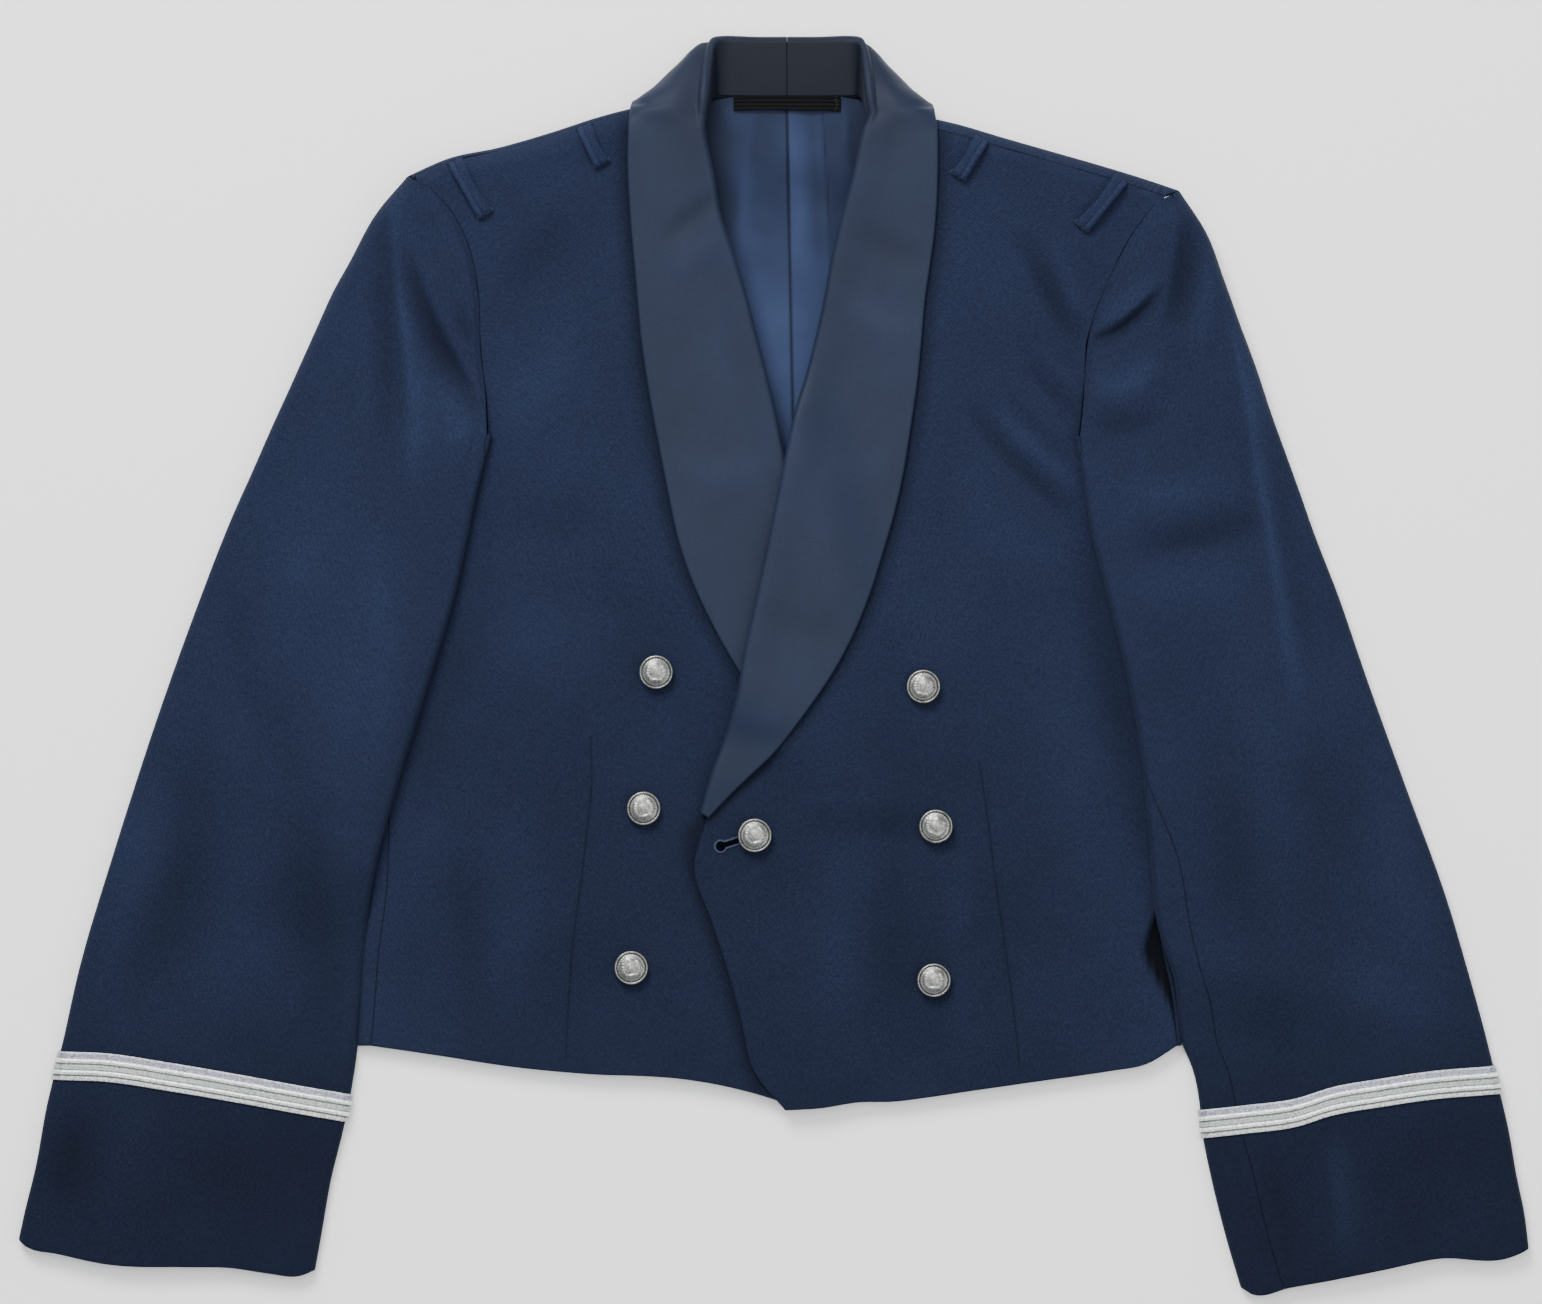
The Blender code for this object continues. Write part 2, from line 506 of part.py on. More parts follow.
# ---------------------------------------------------------------- fronts
def front_borders(side):
    sign = SIDES[side]
    y = np.linspace(-265, 60, 9)
    depth = look_up(SIDE_SEAM_DEPTH[side], y) + SEAM
    seam = np.column_stack([side_fold_x(side, y) - sign * depth, y])
    arm = np.array(CAP[side], float)
    low_point = np.array(ARMHOLE[side][0], float)
    outer = arm[-1, 2:4]
    share = (seam[-1, 0] - low_point[0]) / (outer[0] - low_point[0])
    corner = low_point + share * (outer - low_point) - np.array([0, SEAM])
    seam[-1] = corner
    bottom = np.linspace(corner, low_point - np.array([sign * SEAM, SEAM]), 5)
    armhole = spline(np.array(ARMHOLE[side], float) - np.array([sign * SEAM, 0]), count=9)
    columns = shoulder_columns(side)
    cosine = math.cos(SHOULDER_SLOPE)

    def shoulder(x):
        return shoulder_fold_y(x) - (SHOULDER_SEAM_DEPTH[side] + SEAM) / cosine

    tip = np.array([columns[0], float(shoulder(columns[0]))])
    outside = joined(seam, bottom, armhole, armhole[-1] + (tip - armhole[-1]) * np.array(TOP_ROWS)[:, None])
    top_x = np.concatenate([columns, [sign * 61.0, sign * 54.0]])
    top = np.column_stack([top_x, shoulder(top_x)])
    lapel = lapel_rows(side)
    away = lapel[:, 2:4] - lapel[:, 0:2]
    away /= np.linalg.norm(away, axis=1, keepdims=True)
    fold = (lapel[:, 0:2] + away * EDGE_TO_ROLL)[::-1]
    edge = spline(FRONT_EDGE[side], count=9)
    under_lapel = spline(np.vstack([edge[-1], fold, top[-1]]), fractions=np.linspace(0, 0.93, 15))
    inside = joined(spline(edge, count=len(outside) - 17), under_lapel,
                    under_lapel[-1] + (top[-1] - under_lapel[-1]) * np.array(TOP_ROWS)[:, None])
    hem = spline(np.vstack([seam[0], np.array(HEM[side][1:], float)]), count=len(top))
    hem[-1] = inside[0]
    return hem, top, outside, inside


def make_front(side):
    hem, top, outside, inside = front_borders(side)
    grid = coons(hem, top, outside, inside)
    height = FRONT_TOP[side]

    def surface(x, y):
        return np.stack([x, y, height(x, y)], axis=-1)

    outer = surface(grid[..., 0], grid[..., 1])
    normals = face_normals(surface, grid[..., 0], grid[..., 1])
    armhole = slice(8, len(outside) - 1)
    normals[armhole, 0] = stand_upright(normals[armhole, 0], outer[armhole, 0])
    normals[:-1, -1] = stand_upright(normals[:, -1], outer[:, -1])[:-1]
    inner = outer - normals * FRONT_CLOTH
    return wall("front_" + side, outer, inner, material("navy_wool", NAVY, 0.85))


# ---------------------------------------------------------------- sleeves
def above_underarm(side, x, y):
    """Distance above the line from the armhole's lowest front point to the underarm."""
    cap = np.array(CAP[side][-1], float)
    slope = (cap[3] - cap[1]) / (cap[2] - cap[0])
    return y - (cap[1] + slope * (x - cap[0]))


def sleeve_bed(side, x, y):
    """What the sleeve lies on: the body's top while it is over the body, then the surface."""
    over_body = (x - side_fold_x(side, y)) * -SIDES[side]
    on_body = (body_height(x, y) + BODY_CLEAR) * smooth(-17, -2, over_body)
    return on_body * (1 - smooth(1, 11, above_underarm(side, x, y))) * smooth(*BESIDE_BODY[side], y)


def sleeve_frame(side, station):
    """Inner point, outer point, inner depth and outer height; the cap is 0 to 1, the arm 1 to 2."""
    if station < 1:
        row = spline(CAP[side], fractions=[station])[0]
        return row[0:2], row[2:4], 0.0, row[5]
    row = spline(ARM[side], fractions=[station - 1])[0]
    return row[0:2], row[2:4], row[4], row[5]


def across_length(side, station):
    """Length of cloth over the top from the inner fold's outermost line to the outer fold's."""
    inner, outer, depth_in, height_out = sleeve_frame(side, station)
    radii = (depth_in + height_out) / 2
    return np.linalg.norm(outer - inner) - radii + radii * math.pi / 2


def sleeve_section(side, station, lengths, face):
    """Points round the sleeve at a station: lengths along the cloth from the inner fold's outermost line.

    face is 1 over the top, -1 underneath. On the cap the inner end is the armhole seam, not a fold.
    """
    inner, outer, depth_in, height_out = sleeve_frame(side, station)
    chord = np.linalg.norm(outer - inner)
    if station < 1:
        lift = (ARM[side][0][4] + BODY_CLEAR) * float(smooth(0.72, 1.0, station))
        height_in = float(body_height(inner[0], inner[1])) + lift
    else:
        height_in = float(sleeve_bed(side, inner[0], inner[1])) + depth_in
    radius_in, radius_out = max(depth_in / 2, 1e-6), height_out / 2
    whole = across_length(side, station)
    depth_a, share_a = roll(lengths, radius_in)
    depth_b, share_b = roll(whole - lengths, radius_out)
    from_inner = lengths < whole / 2
    share = np.where(from_inner, share_a, share_b)
    across = np.clip(np.where(from_inner, depth_a, chord - depth_b) / chord, 0, 1)
    place = inner + (outer - inner) * across[:, None]
    x = place[:, 0]
    y = place[:, 1] - look_up(CUFF_CURVE[side], across) * smooth(1.8, 2.0, station)
    low = sleeve_bed(side, x, y)
    high = height_in + (height_out - height_in) * smooth(0.0, 1.0, across)
    high = high + ARM_SWELL * np.sin(math.pi * across) * smooth(0, 0.4, station)
    from_seam = across * chord
    rope = CAP_ROPE * smooth(0, 4, from_seam) * (1 - smooth(9, 34, from_seam))
    high = high + rope * (1 - smooth(0.9, 1.02, station)) * smooth(0.0, 0.12, station)
    clear = low + SLEEVE_HOLLOW + 2 * SLEEVE_CLOTH
    soft = np.logaddexp(high / SOFTEN, clear / SOFTEN) * SOFTEN
    high = np.where(across > 0.08, soft, high) if station >= 1 else high
    return np.stack([x, y, (low + high) / 2 + (high - low) / 2 * share * face], axis=-1)


def forearm_seam(side, station):
    """Where the forearm seam lies, as a length over the top from the inner fold."""
    if station < 1:
        return 0.0
    inner, _, depth_in, _ = sleeve_frame(side, station)
    wanted = float(look_up(FOREARM_SEAM[side], inner[1]))
    radius = depth_in / 2
    start = float(unroll(abs(wanted), radius, np.sign(wanted)))
    return start + (radius * math.pi / 2 - start) * float(1 - smooth(1.0, 1.06, station))


def back_armhole_reach(side, station):
    """Distance along the chord from the front armhole seam to the back one."""
    seam = sleeve_frame(side, station)[0]
    return np.linalg.norm(back_armhole(side, [station])[0] - seam) + SEAM


def hindarm_seam(side, station):
    """How far past the outer fold's outermost line the hindarm seam lies, underneath."""
    radius = sleeve_frame(side, station)[3] / 2
    tuck = radius * math.pi / 2 + HINDARM_TUCK
    if station < 1:
        tuck = min(tuck, across_length(side, station) - back_armhole_reach(side, station) - 3.0)
    return tuck


def side_crossing(side, station):
    """Distance along the chord at which the sleeve passes the body's side fold."""
    inner, outer, _, _ = sleeve_frame(side, station)
    share = np.linspace(0, 1, 201)
    line = inner + (outer - inner) * share[:, None]
    outside = (line[:, 0] - side_fold_x(side, line[:, 1])) * SIDES[side] > 0
    return share[np.argmax(outside)] * np.linalg.norm(outer - inner)


def top_columns(side, station):
    """Lengths of the top sleeve's columns: round the inner fold, flat, round the outer fold."""
    _, _, depth_in, height_out = sleeve_frame(side, station)
    start = forearm_seam(side, station) + SEAM
    whole, tuck = across_length(side, station), hindarm_seam(side, station) - SEAM
    flat_end = whole - height_out / 2 * math.pi / 2
    flat_start = max(depth_in / 2 * math.pi / 2, start + 0.15 * (flat_end - start))
    under = min(tuck * 0.75, height_out / 2 * math.pi / 2)
    return np.concatenate([np.linspace(start, flat_start, 4), np.linspace(flat_start, flat_end, 7)[1:],
                           np.linspace(flat_end, whole + under, 6)[1:], [whole + tuck]])


def under_columns(side, station):
    """Lengths of the under sleeve's columns, and none before the back armhole on the cap."""
    whole, tuck = across_length(side, station), hindarm_seam(side, station) + SEAM
    end = whole - tuck
    if station < 1:
        first = back_armhole_reach(side, station)
        return np.concatenate([np.full(UNDERARM_COLUMN, first), np.linspace(first, end, 10)])
    _, _, depth_in, _ = sleeve_frame(side, station)
    radius = depth_in / 2
    start = SEAM - forearm_seam(side, station)
    turn = max(radius * math.pi / 2, start + 2.0)
    over = radius * math.pi / 2 - radius
    drop = max(side_crossing(side, station) + over, turn + 4.0)
    near = np.linspace(turn, drop - 1.5, 4)
    beyond = drop + np.array([2.5, 6.5, 10.5, 14.5, 18.5])
    return np.concatenate([np.linspace(start, turn, 4)[:-1], near, beyond,
                           np.linspace(beyond[-1], end, 5)[1:]])


def section_normals(side, station, lengths, face):
    """Outward normals, from the section a small step either way along it and along the sleeve."""
    low, high = (0.0, 0.9999) if station < 1 else (1.0, 2.0)
    along = (sleeve_section(side, min(station + 0.002, high), lengths, face)
             - sleeve_section(side, max(station - 0.002, low), lengths, face))
    round_it = (sleeve_section(side, station, lengths + 0.05, face)
                - sleeve_section(side, station, lengths - 0.05, face))
    normal = np.cross(round_it, along) * -SIDES[side] * face
    return normal / np.maximum(np.linalg.norm(normal, axis=1, keepdims=True), 1e-12)


def sleeve_wall(name, side, columns_of, face, keep=None):
    stations = np.concatenate([CAP_STATIONS, ARM_STATIONS])
    outer = np.array([sleeve_section(side, s, columns_of(side, s), face) for s in stations])
    normals = np.array([section_normals(side, s, columns_of(side, s), face) for s in stations])
    cap = len(CAP_STATIONS)
    if face > 0:
        normals[:cap, 0] = stand_upright(normals[:cap, 0], outer[:cap, 0])
    normals[0] = stand_upright(normals[0], outer[0])
    inner = outer - normals * SLEEVE_CLOTH
    return wall(name, outer, inner, material("navy_wool", NAVY, 0.85), keep)


def make_sleeve(side):
    """Top sleeve and under sleeve; the under sleeve is cut away round the back armhole."""
    sleeve_wall("top_sleeve_" + side, side, top_columns, 1)
    rows = len(CAP_STATIONS) + len(ARM_STATIONS) - 1
    keep = np.ones((rows, len(under_columns(side, 1.5)) - 1), bool)
    keep[:len(CAP_STATIONS), :UNDERARM_COLUMN] = False
    sleeve_wall("under_sleeve_" + side, side, under_columns, -1, keep)


# ---------------------------------------------------------------- collar
def grid_normals(points):
    """Unit normals of a grid of points, from its own rows and columns."""
    normal = np.cross(np.gradient(points, axis=0), np.gradient(points, axis=1))
    return normal / np.linalg.norm(normal, axis=-1, keepdims=True)


def roll_points(roll_at, bulge, across, radius):
    """Half a circle from the stand's side of the fold to the fall's."""
    centre = roll_at - bulge * radius
    turns = np.radians(np.linspace(-90, 90, 5))
    return [centre + bulge * radius * math.cos(t) + across * radius * math.sin(t) for t in turns]


def neck_section(side, row):
    """The collar behind and beside the neck: stand, fold, and the fall round to the back."""
    seam, at, bulge, over, fold, under, outer = row[:21].reshape(7, 3)
    falls = np.array([over, fold, under, outer])
    sign = SIDES[side]
    if side == "left":
        falls = falls * (LEFT_COLLAR_WIDTH, 1, 1) - (0, LEFT_COLLAR_DROP * row[22], 0)
    turned = np.array([-sign, 1, 1])
    seam, at, bulge, falls = seam * turned, at * turned, bulge * turned, falls * turned
    bulge = bulge / np.linalg.norm(bulge)
    across = falls[1] - seam
    across -= bulge * (across @ bulge)
    across /= np.linalg.norm(across)
    bend = roll_points(at, bulge, across, row[21])
    points = np.vstack([[seam], bend, spline_3d(np.vstack([[bend[-1]], falls]), 7)[1:]])
    points[:, 2] = np.maximum(points[:, 2], 0)
    return points


def spline_3d(points, count):
    """Even points on a smooth curve through a few points in space."""
    steps = np.linalg.norm(np.diff(points, axis=0), axis=1)
    at = np.concatenate([[0], np.cumsum(steps)])
    where = np.linspace(0, at[-1], count)
    return np.column_stack([look_up(np.column_stack([at, points[:, k]]), where) for k in range(3)])


def lapel_section(side, row):
    """The lapel: a short leg under the front's edge, the fold, and the lapel lying on the front."""
    at, outer = row[0:2], row[2:4]
    away = (outer - at) / np.linalg.norm(outer - at)
    height = FRONT_TOP[side]
    start = at + away * (EDGE_TO_ROLL - 0.8)
    base = float(height(start[0], start[1])) - COLLAR_CLOTH
    across, bulge = np.array([0, 0, 1.0]), np.array([-away[0], -away[1], 0])
    bend = roll_points(np.array([at[0], at[1], base + LAPEL_ROLL]), bulge, across, LAPEL_ROLL)
    reach = np.linspace(LAPEL_ROLL, np.linalg.norm(outer - at), 7)[1:]
    place = at + away * reach[:, None]
    lift = 2 * LAPEL_ROLL - 2 * COLLAR_CLOTH - LAPEL_REST
    rest = COLLAR_CLOTH + LAPEL_REST + lift * (1 - smooth(LAPEL_ROLL, 22, reach))
    top = np.column_stack([place, height(place[:, 0], place[:, 1]) + rest])
    return np.vstack([[[start[0], start[1], base]], bend, top])


def make_collar(side):
    """One half of the shawl collar, from the centre-back seam to the end of the lapel."""
    table = np.array(COLLAR_BACK, float)
    at = np.arange(len(table), dtype=float)
    where = np.linspace(0, len(table) - 1, 2 * len(table) - 1)
    rows = np.column_stack([look_up(np.column_stack([at, column]), where) for column in table.T])
    back = [neck_section(side, row) for row in rows]
    lapel = [lapel_section(side, row) for row in spline(LAPEL[side], count=18)]
    outer = np.array(back + lapel)
    outer[0, :, 0] = SIDES[side] * SEAM
    normals = grid_normals(outer) * SIDES[side]
    normals[0, :, 0] = 0
    normals[0] /= np.linalg.norm(normals[0], axis=1, keepdims=True)
    normals[len(back):, 0] = (0, 0, -1)
    inner = outer - normals * COLLAR_CLOTH
    return wall("collar_" + side, outer, inner, material("collar_satin", SATIN, 0.45))


# ---------------------------------------------------------------- trims
def make_cuff_lace(side):
    """Braid round the top of the cuff and over both folds; it stops where the sleeve rests."""
    stations = np.linspace(1.5, 1.98, 13)
    shares = np.concatenate([[-0.01, 0.012, 0.03], np.linspace(0.06, 0.94, 8), [0.97, 0.988, 1.01]])
    places = np.array([sleeve_section(side, s, shares * across_length(side, s), 1) for s in stations])
    low, outward = [], []
    for drop in (0.0, LACE_WIDTH / 2, LACE_WIDTH):
        for column, share in enumerate(shares):
            past = look_up(LACE_TOP[side], places[:, column, 0]) - drop - places[:, column, 1]
            station = float(np.interp(0, past, stations))
            length = np.array([share * across_length(side, station)])
            outward.append(section_normals(side, station, length, 1)[0])
            low.append(sleeve_section(side, station, length, 1)[0])
    low, outward = np.reshape(low, (3, -1, 3)), np.reshape(outward, (3, -1, 3))
    low = low + outward * (GAP + 0.25)
    return wall("cuff_lace_" + side, low + outward * LACE_CLOTH, low, material("silver_lace", SILVER, 0.4, 0.6))


def make_shoulder_loop(name, side, start_x, start_y, end_x, end_y):
    """A narrow loop of cloth tacked down at both ends and just clear of the shoulder between them."""
    height = FRONT_TOP[side]

    def surface(x, y):
        return np.stack([x, y, height(x, y)], axis=-1)

    along = np.linspace(0, 1, 8)[:, None]
    start, end = np.array([start_x, start_y], float), np.array([end_x, end_y], float)
    across = np.array([-(end - start)[1], (end - start)[0]]) / np.linalg.norm(end - start)
    place = (start + (end - start) * along)[:, None] + across * np.linspace(-0.5, 0.5, 3)[None, :, None] * LOOP_WIDTH
    points = surface(place[..., 0], place[..., 1])
    normals = face_normals(surface, place[..., 0], place[..., 1])
    lift = GAP + 0.2 + LOOP_LIFT * np.sin(math.pi * along)[:, :, None]
    low = points + normals * lift
    return wall("shoulder_loop_" + name, low + normals * LOOP_THICK, low, material("navy_wool", NAVY, 0.85))


def make_hanger_loop():
    """Woven tape across the neck seam, tacked at both ends."""
    x = np.linspace(-HANGER_LENGTH / 2, HANGER_LENGTH / 2, 9)
    y = NECK_SEAM_Y - SEAM - np.array([0, HANGER_WIDTH / 2, HANGER_WIDTH])
    grid_x, grid_y = np.meshgrid(x, y)
    lining_top = COLLAR_BED + BACK_CLOTH + GAP + LINING_CLOTH
    low = np.stack([grid_x, grid_y, lining_top + GAP + 0.8 * np.cos(grid_x / HANGER_LENGTH * math.pi)], axis=-1)
    return wall("hanger_loop", low + (0, 0, 1.0), low, material("black_tape", BLACK, 0.8))


def make_button(number, x, y):
    """Domed metal button with a raised rim, on a short shank."""
    side = "right" if number < 3 else "left"
    foot = float(FRONT_TOP[side](x, y)) + GAP + 0.5
    radius = BUTTON_DIAMETER / 2
    profile = ((0, 0), (1.8, 0), (1.8, 2.2), (radius - 1.0, 2.4), (radius, 3.2), (radius - 0.8, 4.5),
               (radius - 2.0, 4.4), (radius * 0.45, 5.6), (0, 6.0))
    shape = bmesh.new()
    ring = [shape.verts.new((r * MM, 0, z * MM)) for r, z in profile]
    edges = [shape.edges.new(pair) for pair in zip(ring, ring[1:])]
    bmesh.ops.spin(shape, geom=ring + edges, cent=(0, 0, 0), axis=(0, 0, 1), angle=2 * math.pi, steps=12)
    bmesh.ops.remove_doubles(shape, verts=shape.verts, dist=1e-6)
    bmesh.ops.recalc_face_normals(shape, faces=shape.faces)
    bmesh.ops.triangulate(shape, faces=shape.faces)
    bmesh.ops.translate(shape, verts=shape.verts, vec=(x * MM, y * MM, foot * MM))
    mesh = bpy.data.meshes.new("button_%d" % (number + 1))
    shape.to_mesh(mesh)
    shape.free()
    return add_object(mesh.name, mesh, material("aged_silver", SILVER, 0.35, 1.0))


def clear_scene():
    for thing in list(bpy.data.objects):
        bpy.data.objects.remove(thing, do_unlink=True)


def main():
    clear_scene()
    make_back()
    make_back_lining()
    for side in SIDES:
        make_front(side)
        make_sleeve(side)
        make_collar(side)
        make_cuff_lace(side)
    for name, ends in SHOULDER_LOOPS.items():
        make_shoulder_loop(name, name.split("_")[0], *ends)
    make_hanger_loop()
    for number, place in enumerate(BUTTONS):
        make_button(number, *place)


main()
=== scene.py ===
"""Short mess-dress jacket laid flat on its back: cloth pieces, collar, braid, loops, tape and buttons.

Frame: +X to the wearer's left, +Y to the collar, +Z up. "right" and "left" are the wearer's, so the
right side has negative X. Tables are in millimetres; meshes are in metres.
"""

import math

import bmesh
import bpy
import numpy as np
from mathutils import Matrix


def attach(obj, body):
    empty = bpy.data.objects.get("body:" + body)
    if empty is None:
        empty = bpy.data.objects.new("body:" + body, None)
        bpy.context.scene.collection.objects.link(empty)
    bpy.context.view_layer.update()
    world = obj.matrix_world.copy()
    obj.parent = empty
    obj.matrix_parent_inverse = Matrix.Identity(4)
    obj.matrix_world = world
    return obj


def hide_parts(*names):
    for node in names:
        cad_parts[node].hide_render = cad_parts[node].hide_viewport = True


bl_info = {
    "name": "Mess Dress Jacket",
    "version": (1, 0, 0),
    "blender": (4, 5, 0),
    "location": "3D View > Sidebar > Jacket",
    "description": "Builds a short dress jacket laid flat, with its collar, braid, loops and buttons",
    "category": "Add Mesh",
}

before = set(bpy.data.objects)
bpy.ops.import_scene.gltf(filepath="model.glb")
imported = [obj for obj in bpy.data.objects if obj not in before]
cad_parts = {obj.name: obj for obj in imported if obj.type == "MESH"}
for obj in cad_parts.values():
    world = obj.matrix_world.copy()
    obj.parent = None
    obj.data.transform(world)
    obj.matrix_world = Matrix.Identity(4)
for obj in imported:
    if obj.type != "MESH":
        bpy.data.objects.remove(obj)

MM = 0.001

# ---------------------------------------------------------------- driving sizes, in mm
GAP = 0.3                   # clearance where two pieces meet or lie on each other
SEAM = 0.04                 # each panel stops this far short of its seam line
BACK_CLOTH = 1.8
FRONT_CLOTH = 2.4           # wool, canvas and facing
SLEEVE_CLOTH = 1.8
COLLAR_CLOTH = 2.0
LINING_CLOTH = 1.0
LAPEL_ROLL = 3.2            # outer radius of the lapel's fold
EDGE_TO_ROLL = 5.3          # the front panel stops this far outside the lapel's fold
HOLLOW_SHADE = 0.9          # how dark the hollow beside the left front is, 0 to 1
STAND_SHADE = 0.7           # how dark the collar's stand is
LAPEL_SHADE = (0.45, 6.5)   # how dark the front is beside a lapel, and how far from it, mm
EDGE_SHADE = (0.55, 8.0)    # how dark the right front is beside the left front's edge, and how far
LINING_SHADE = (0.55, 0.15)  # how dark the lining is under the neck, and beside its pleat
TIP_TUCK = 1.3              # the front reaches this far under the sleeve head beside its tip
TIP_CLEAR = 0.25            # the body's shoulder stops this far short of the sleeve's tip
COLLAR_BED = 2.5            # the back panel lies this high over the collar's fall
BED_TOP, BED_START = 246.0, 218.0
NECK_SEAM_Y = 266.0
SHOULDER_SLOPE = math.radians(17.0)

# Height of the top of the fronts above the surface, by distance up the body.
BODY_HEIGHT = (  # y, at the side, at the centre
    (-305, 8.8, 9.6), (-250, 9.0, 11.0), (-150, 9.0, 15.0), (-50, 9.2, 18.0), (50, 10.0, 20.0),
    (80, 12.0, 20.5), (130, 17.0, 22.0), (180, 21.0, 24.0), (220, 24.0, 26.0), (280, 26.0, 26.0),
)
BODY_HALF_WIDTH = ((-305, 232), (-200, 226), (-100, 236), (0, 247), (60, 249), (220, 214), (280, 200))

# The folds that make the jacket's outline, and the seams, on each side of the wearer.
SIDE_FOLD = {  # x, y of the body's side fold, hem to underarm
    "right": ((-241, -266), (-240.4, -258), (-238, -211), (-234, -172), (-238, -128), (-244, -72),
              (-248, 7), (-249, 80)),
    "left": ((221.2, -266), (219.6, -246), (217.6, -232), (213.6, -214), (211.5, -200), (212, -185),
             (216, -155), (225, -100), (240, -30), (248, 20), (249, 80)),
}
SIDE_SEAM_DEPTH = {  # y, how far the side seam lies in from the fold, on top
    "right": ((-270, 8), (-209, 10), (-165, 11), (-128, 15), (-60, 10), (0, 5), (60, 3)),
    "left": ((-270, 3), (60, 3)),
}
SHOULDER_FOLD = {  # x, y of the shoulder's fold, tip to neck
    "right": ((-212, 221), (-189, 231), (-161, 237), (-133, 245), (-105, 254), (-88, 258.5), (-54, 264)),
    "left": ((54, 257), (72, 255), (84, 252.5), (91, 251), (119, 243), (147, 235), (175, 227), (198, 220),
             (219, 213)),
}
SHOULDER_SEAM_DEPTH = {"right": 2.0, "left": 6.0}

ARMHOLE = {  # x, y of the visible armhole seam, from its lowest front point up to the shoulder
    "right": ((-167, 77), (-168, 97), (-171, 125), (-172, 153), (-175, 172), (-181, 190), (-188, 202),
              (-199, 214)),
    "left": ((163, 76), (166, 106), (167, 127), (170, 139), (175, 152), (181, 166), (188, 181),
             (195, 192), (205, 205)),
}

HEM = {  # x, y, side to front tip
    "right": ((-226, -265), (-198, -270), (-152, -277), (-108, -281), (-64, -283), (-43, -286),
              (-24, -290), (-11, -294), (2, -298)),
    "left": ((219, -265), (204, -274), (175, -280), (147, -284), (119, -288), (91, -292), (63, -296),
             (35, -297), (10, -301), (-1, -301)),
}
FRONT_EDGE = {  # x, y, from the hem tip up to the lapel's end
    "right": ((2, -298), (9, -294), (16, -285), (22, -265), (31, -230), (40, -202), (50, -170), (53, -153),
              (50, -143)),
    "left": ((-1, -301), (-7, -297), (-15, -287), (-22, -265), (-31, -230), (-40, -202), (-50, -170),
             (-53, -153), (-51, -145), (-45.2, -138.8)),
}
LAPEL = {  # roll x, roll y, outer x, outer y, from the neck down
    "right": ((-45, 243, -88.5, 248), (-41, 224, -89, 229), (-38, 204, -88, 205), (-33, 187, -86, 180),
              (-27, 170, -84, 158), (-18, 137, -81.5, 130), (-7, 93, -75, 88), (-1, 65, -69, 57),
              (9, 26, -60, 15), (18, -17, -44, -25), (25, -49, -24, -60), (29, -73, -4, -87),
              (36, -97, 14, -104), (43, -120, 31, -123)),
    "left": ((41, 243, 84, 243), (38, 228, 84, 226), (33, 208, 83.5, 203), (27, 187, 81, 180),
             (21, 155, 77, 152), (11, 112, 73, 108), (3, 85, 69, 80), (-1, 65, 65, 55),
             (-9, 26, 55, 15), (-18, -17, 39, -31), (-25, -49, 22, -62), (-29, -73, 4, -87),
             (-36.6, -97, -12, -106), (-43, -114, -29, -122), (-46, -125, -38, -130.5),
             (-48.6, -134.5, -44, -137.5)),
}

# Sleeve stations: the cap runs from the armhole seam to the outer fold, the arm from the inner fold.
CAP = {  # seam x, seam y, outer x, outer y, back armhole x, height at the outer fold
    "right": ((-199, 214, -212, 221, -196, 24.5), (-188, 202, -231, 198, -191, 23.0),
              (-181, 190, -244, 174, -189, 21.0), (-175, 172, -254, 156, -189, 19.5),
              (-172, 153, -264, 134, -190, 18.0), (-171, 125, -278, 103, -196, 16.0),
              (-168, 97, -289, 79, -213, 14.5), (-167, 77, -300, 54, -247, 13.0)),
    "left": ((205, 205, 219, 213, 202, 24.5), (195, 192, 234, 190, 196, 23.0),
             (185, 175, 244, 164, 192, 21.0), (176, 155, 253, 139, 191, 19.5),
             (169, 135, 262, 115, 193, 18.0), (166, 110, 271, 88, 200, 16.0),
             (165, 92, 279, 66, 218, 14.5), (163, 76, 287, 44, 247, 13.0)),
}
ARM = {  # inner x, inner y, outer x, outer y, depth at the inner fold, height at the outer fold
    "right": ((-164.5, 77, -300, 54, 5.4, 13.0), (-171, 52, -309, 34, 7.0, 12.5),
              (-186, -16, -331, -22, 9.0, 11.5), (-203, -72, -349, -72, 9.6, 11.0),
              (-220, -128, -364, -117, 9.8, 10.6), (-231, -172, -377, -158, 9.8, 10.4),
              (-238, -240, -397, -226, 9.6, 10.2), (-241, -273, -405, -262, 9.4, 10.0),
              (-247, -307, -414, -298, 9.2, 10.0), (-255, -340, -420, -331, 9.0, 9.8),
              (-261, -374, -427, -360, 9.0, 9.6), (-264, -391, -430, -374, 9.0, 9.4)),
    "left": ((160.5, 76, 287, 44, 5.4, 13.0), (164, 57, 294, 24, 7.0, 12.5),
             (170, 20, 309, -15, 8.6, 11.8), (179, -15, 322, -53, 9.4, 11.4),
             (195, -86, 345, -117, 9.8, 10.8), (203, -158, 370, -186, 9.8, 10.4),
             (206, -193, 380, -220, 9.8, 10.4), (217, -232, 390, -256, 9.6, 10.2),
             (221, -264, 397, -284, 9.6, 10.2), (226, -276, 401, -300, 9.4, 10.0),
             (234, -324, 408, -337, 9.2, 10.0), (246, -374, 413, -362, 9.0, 9.8),
             (254, -401, 415, -379, 9.0, 9.4)),
}
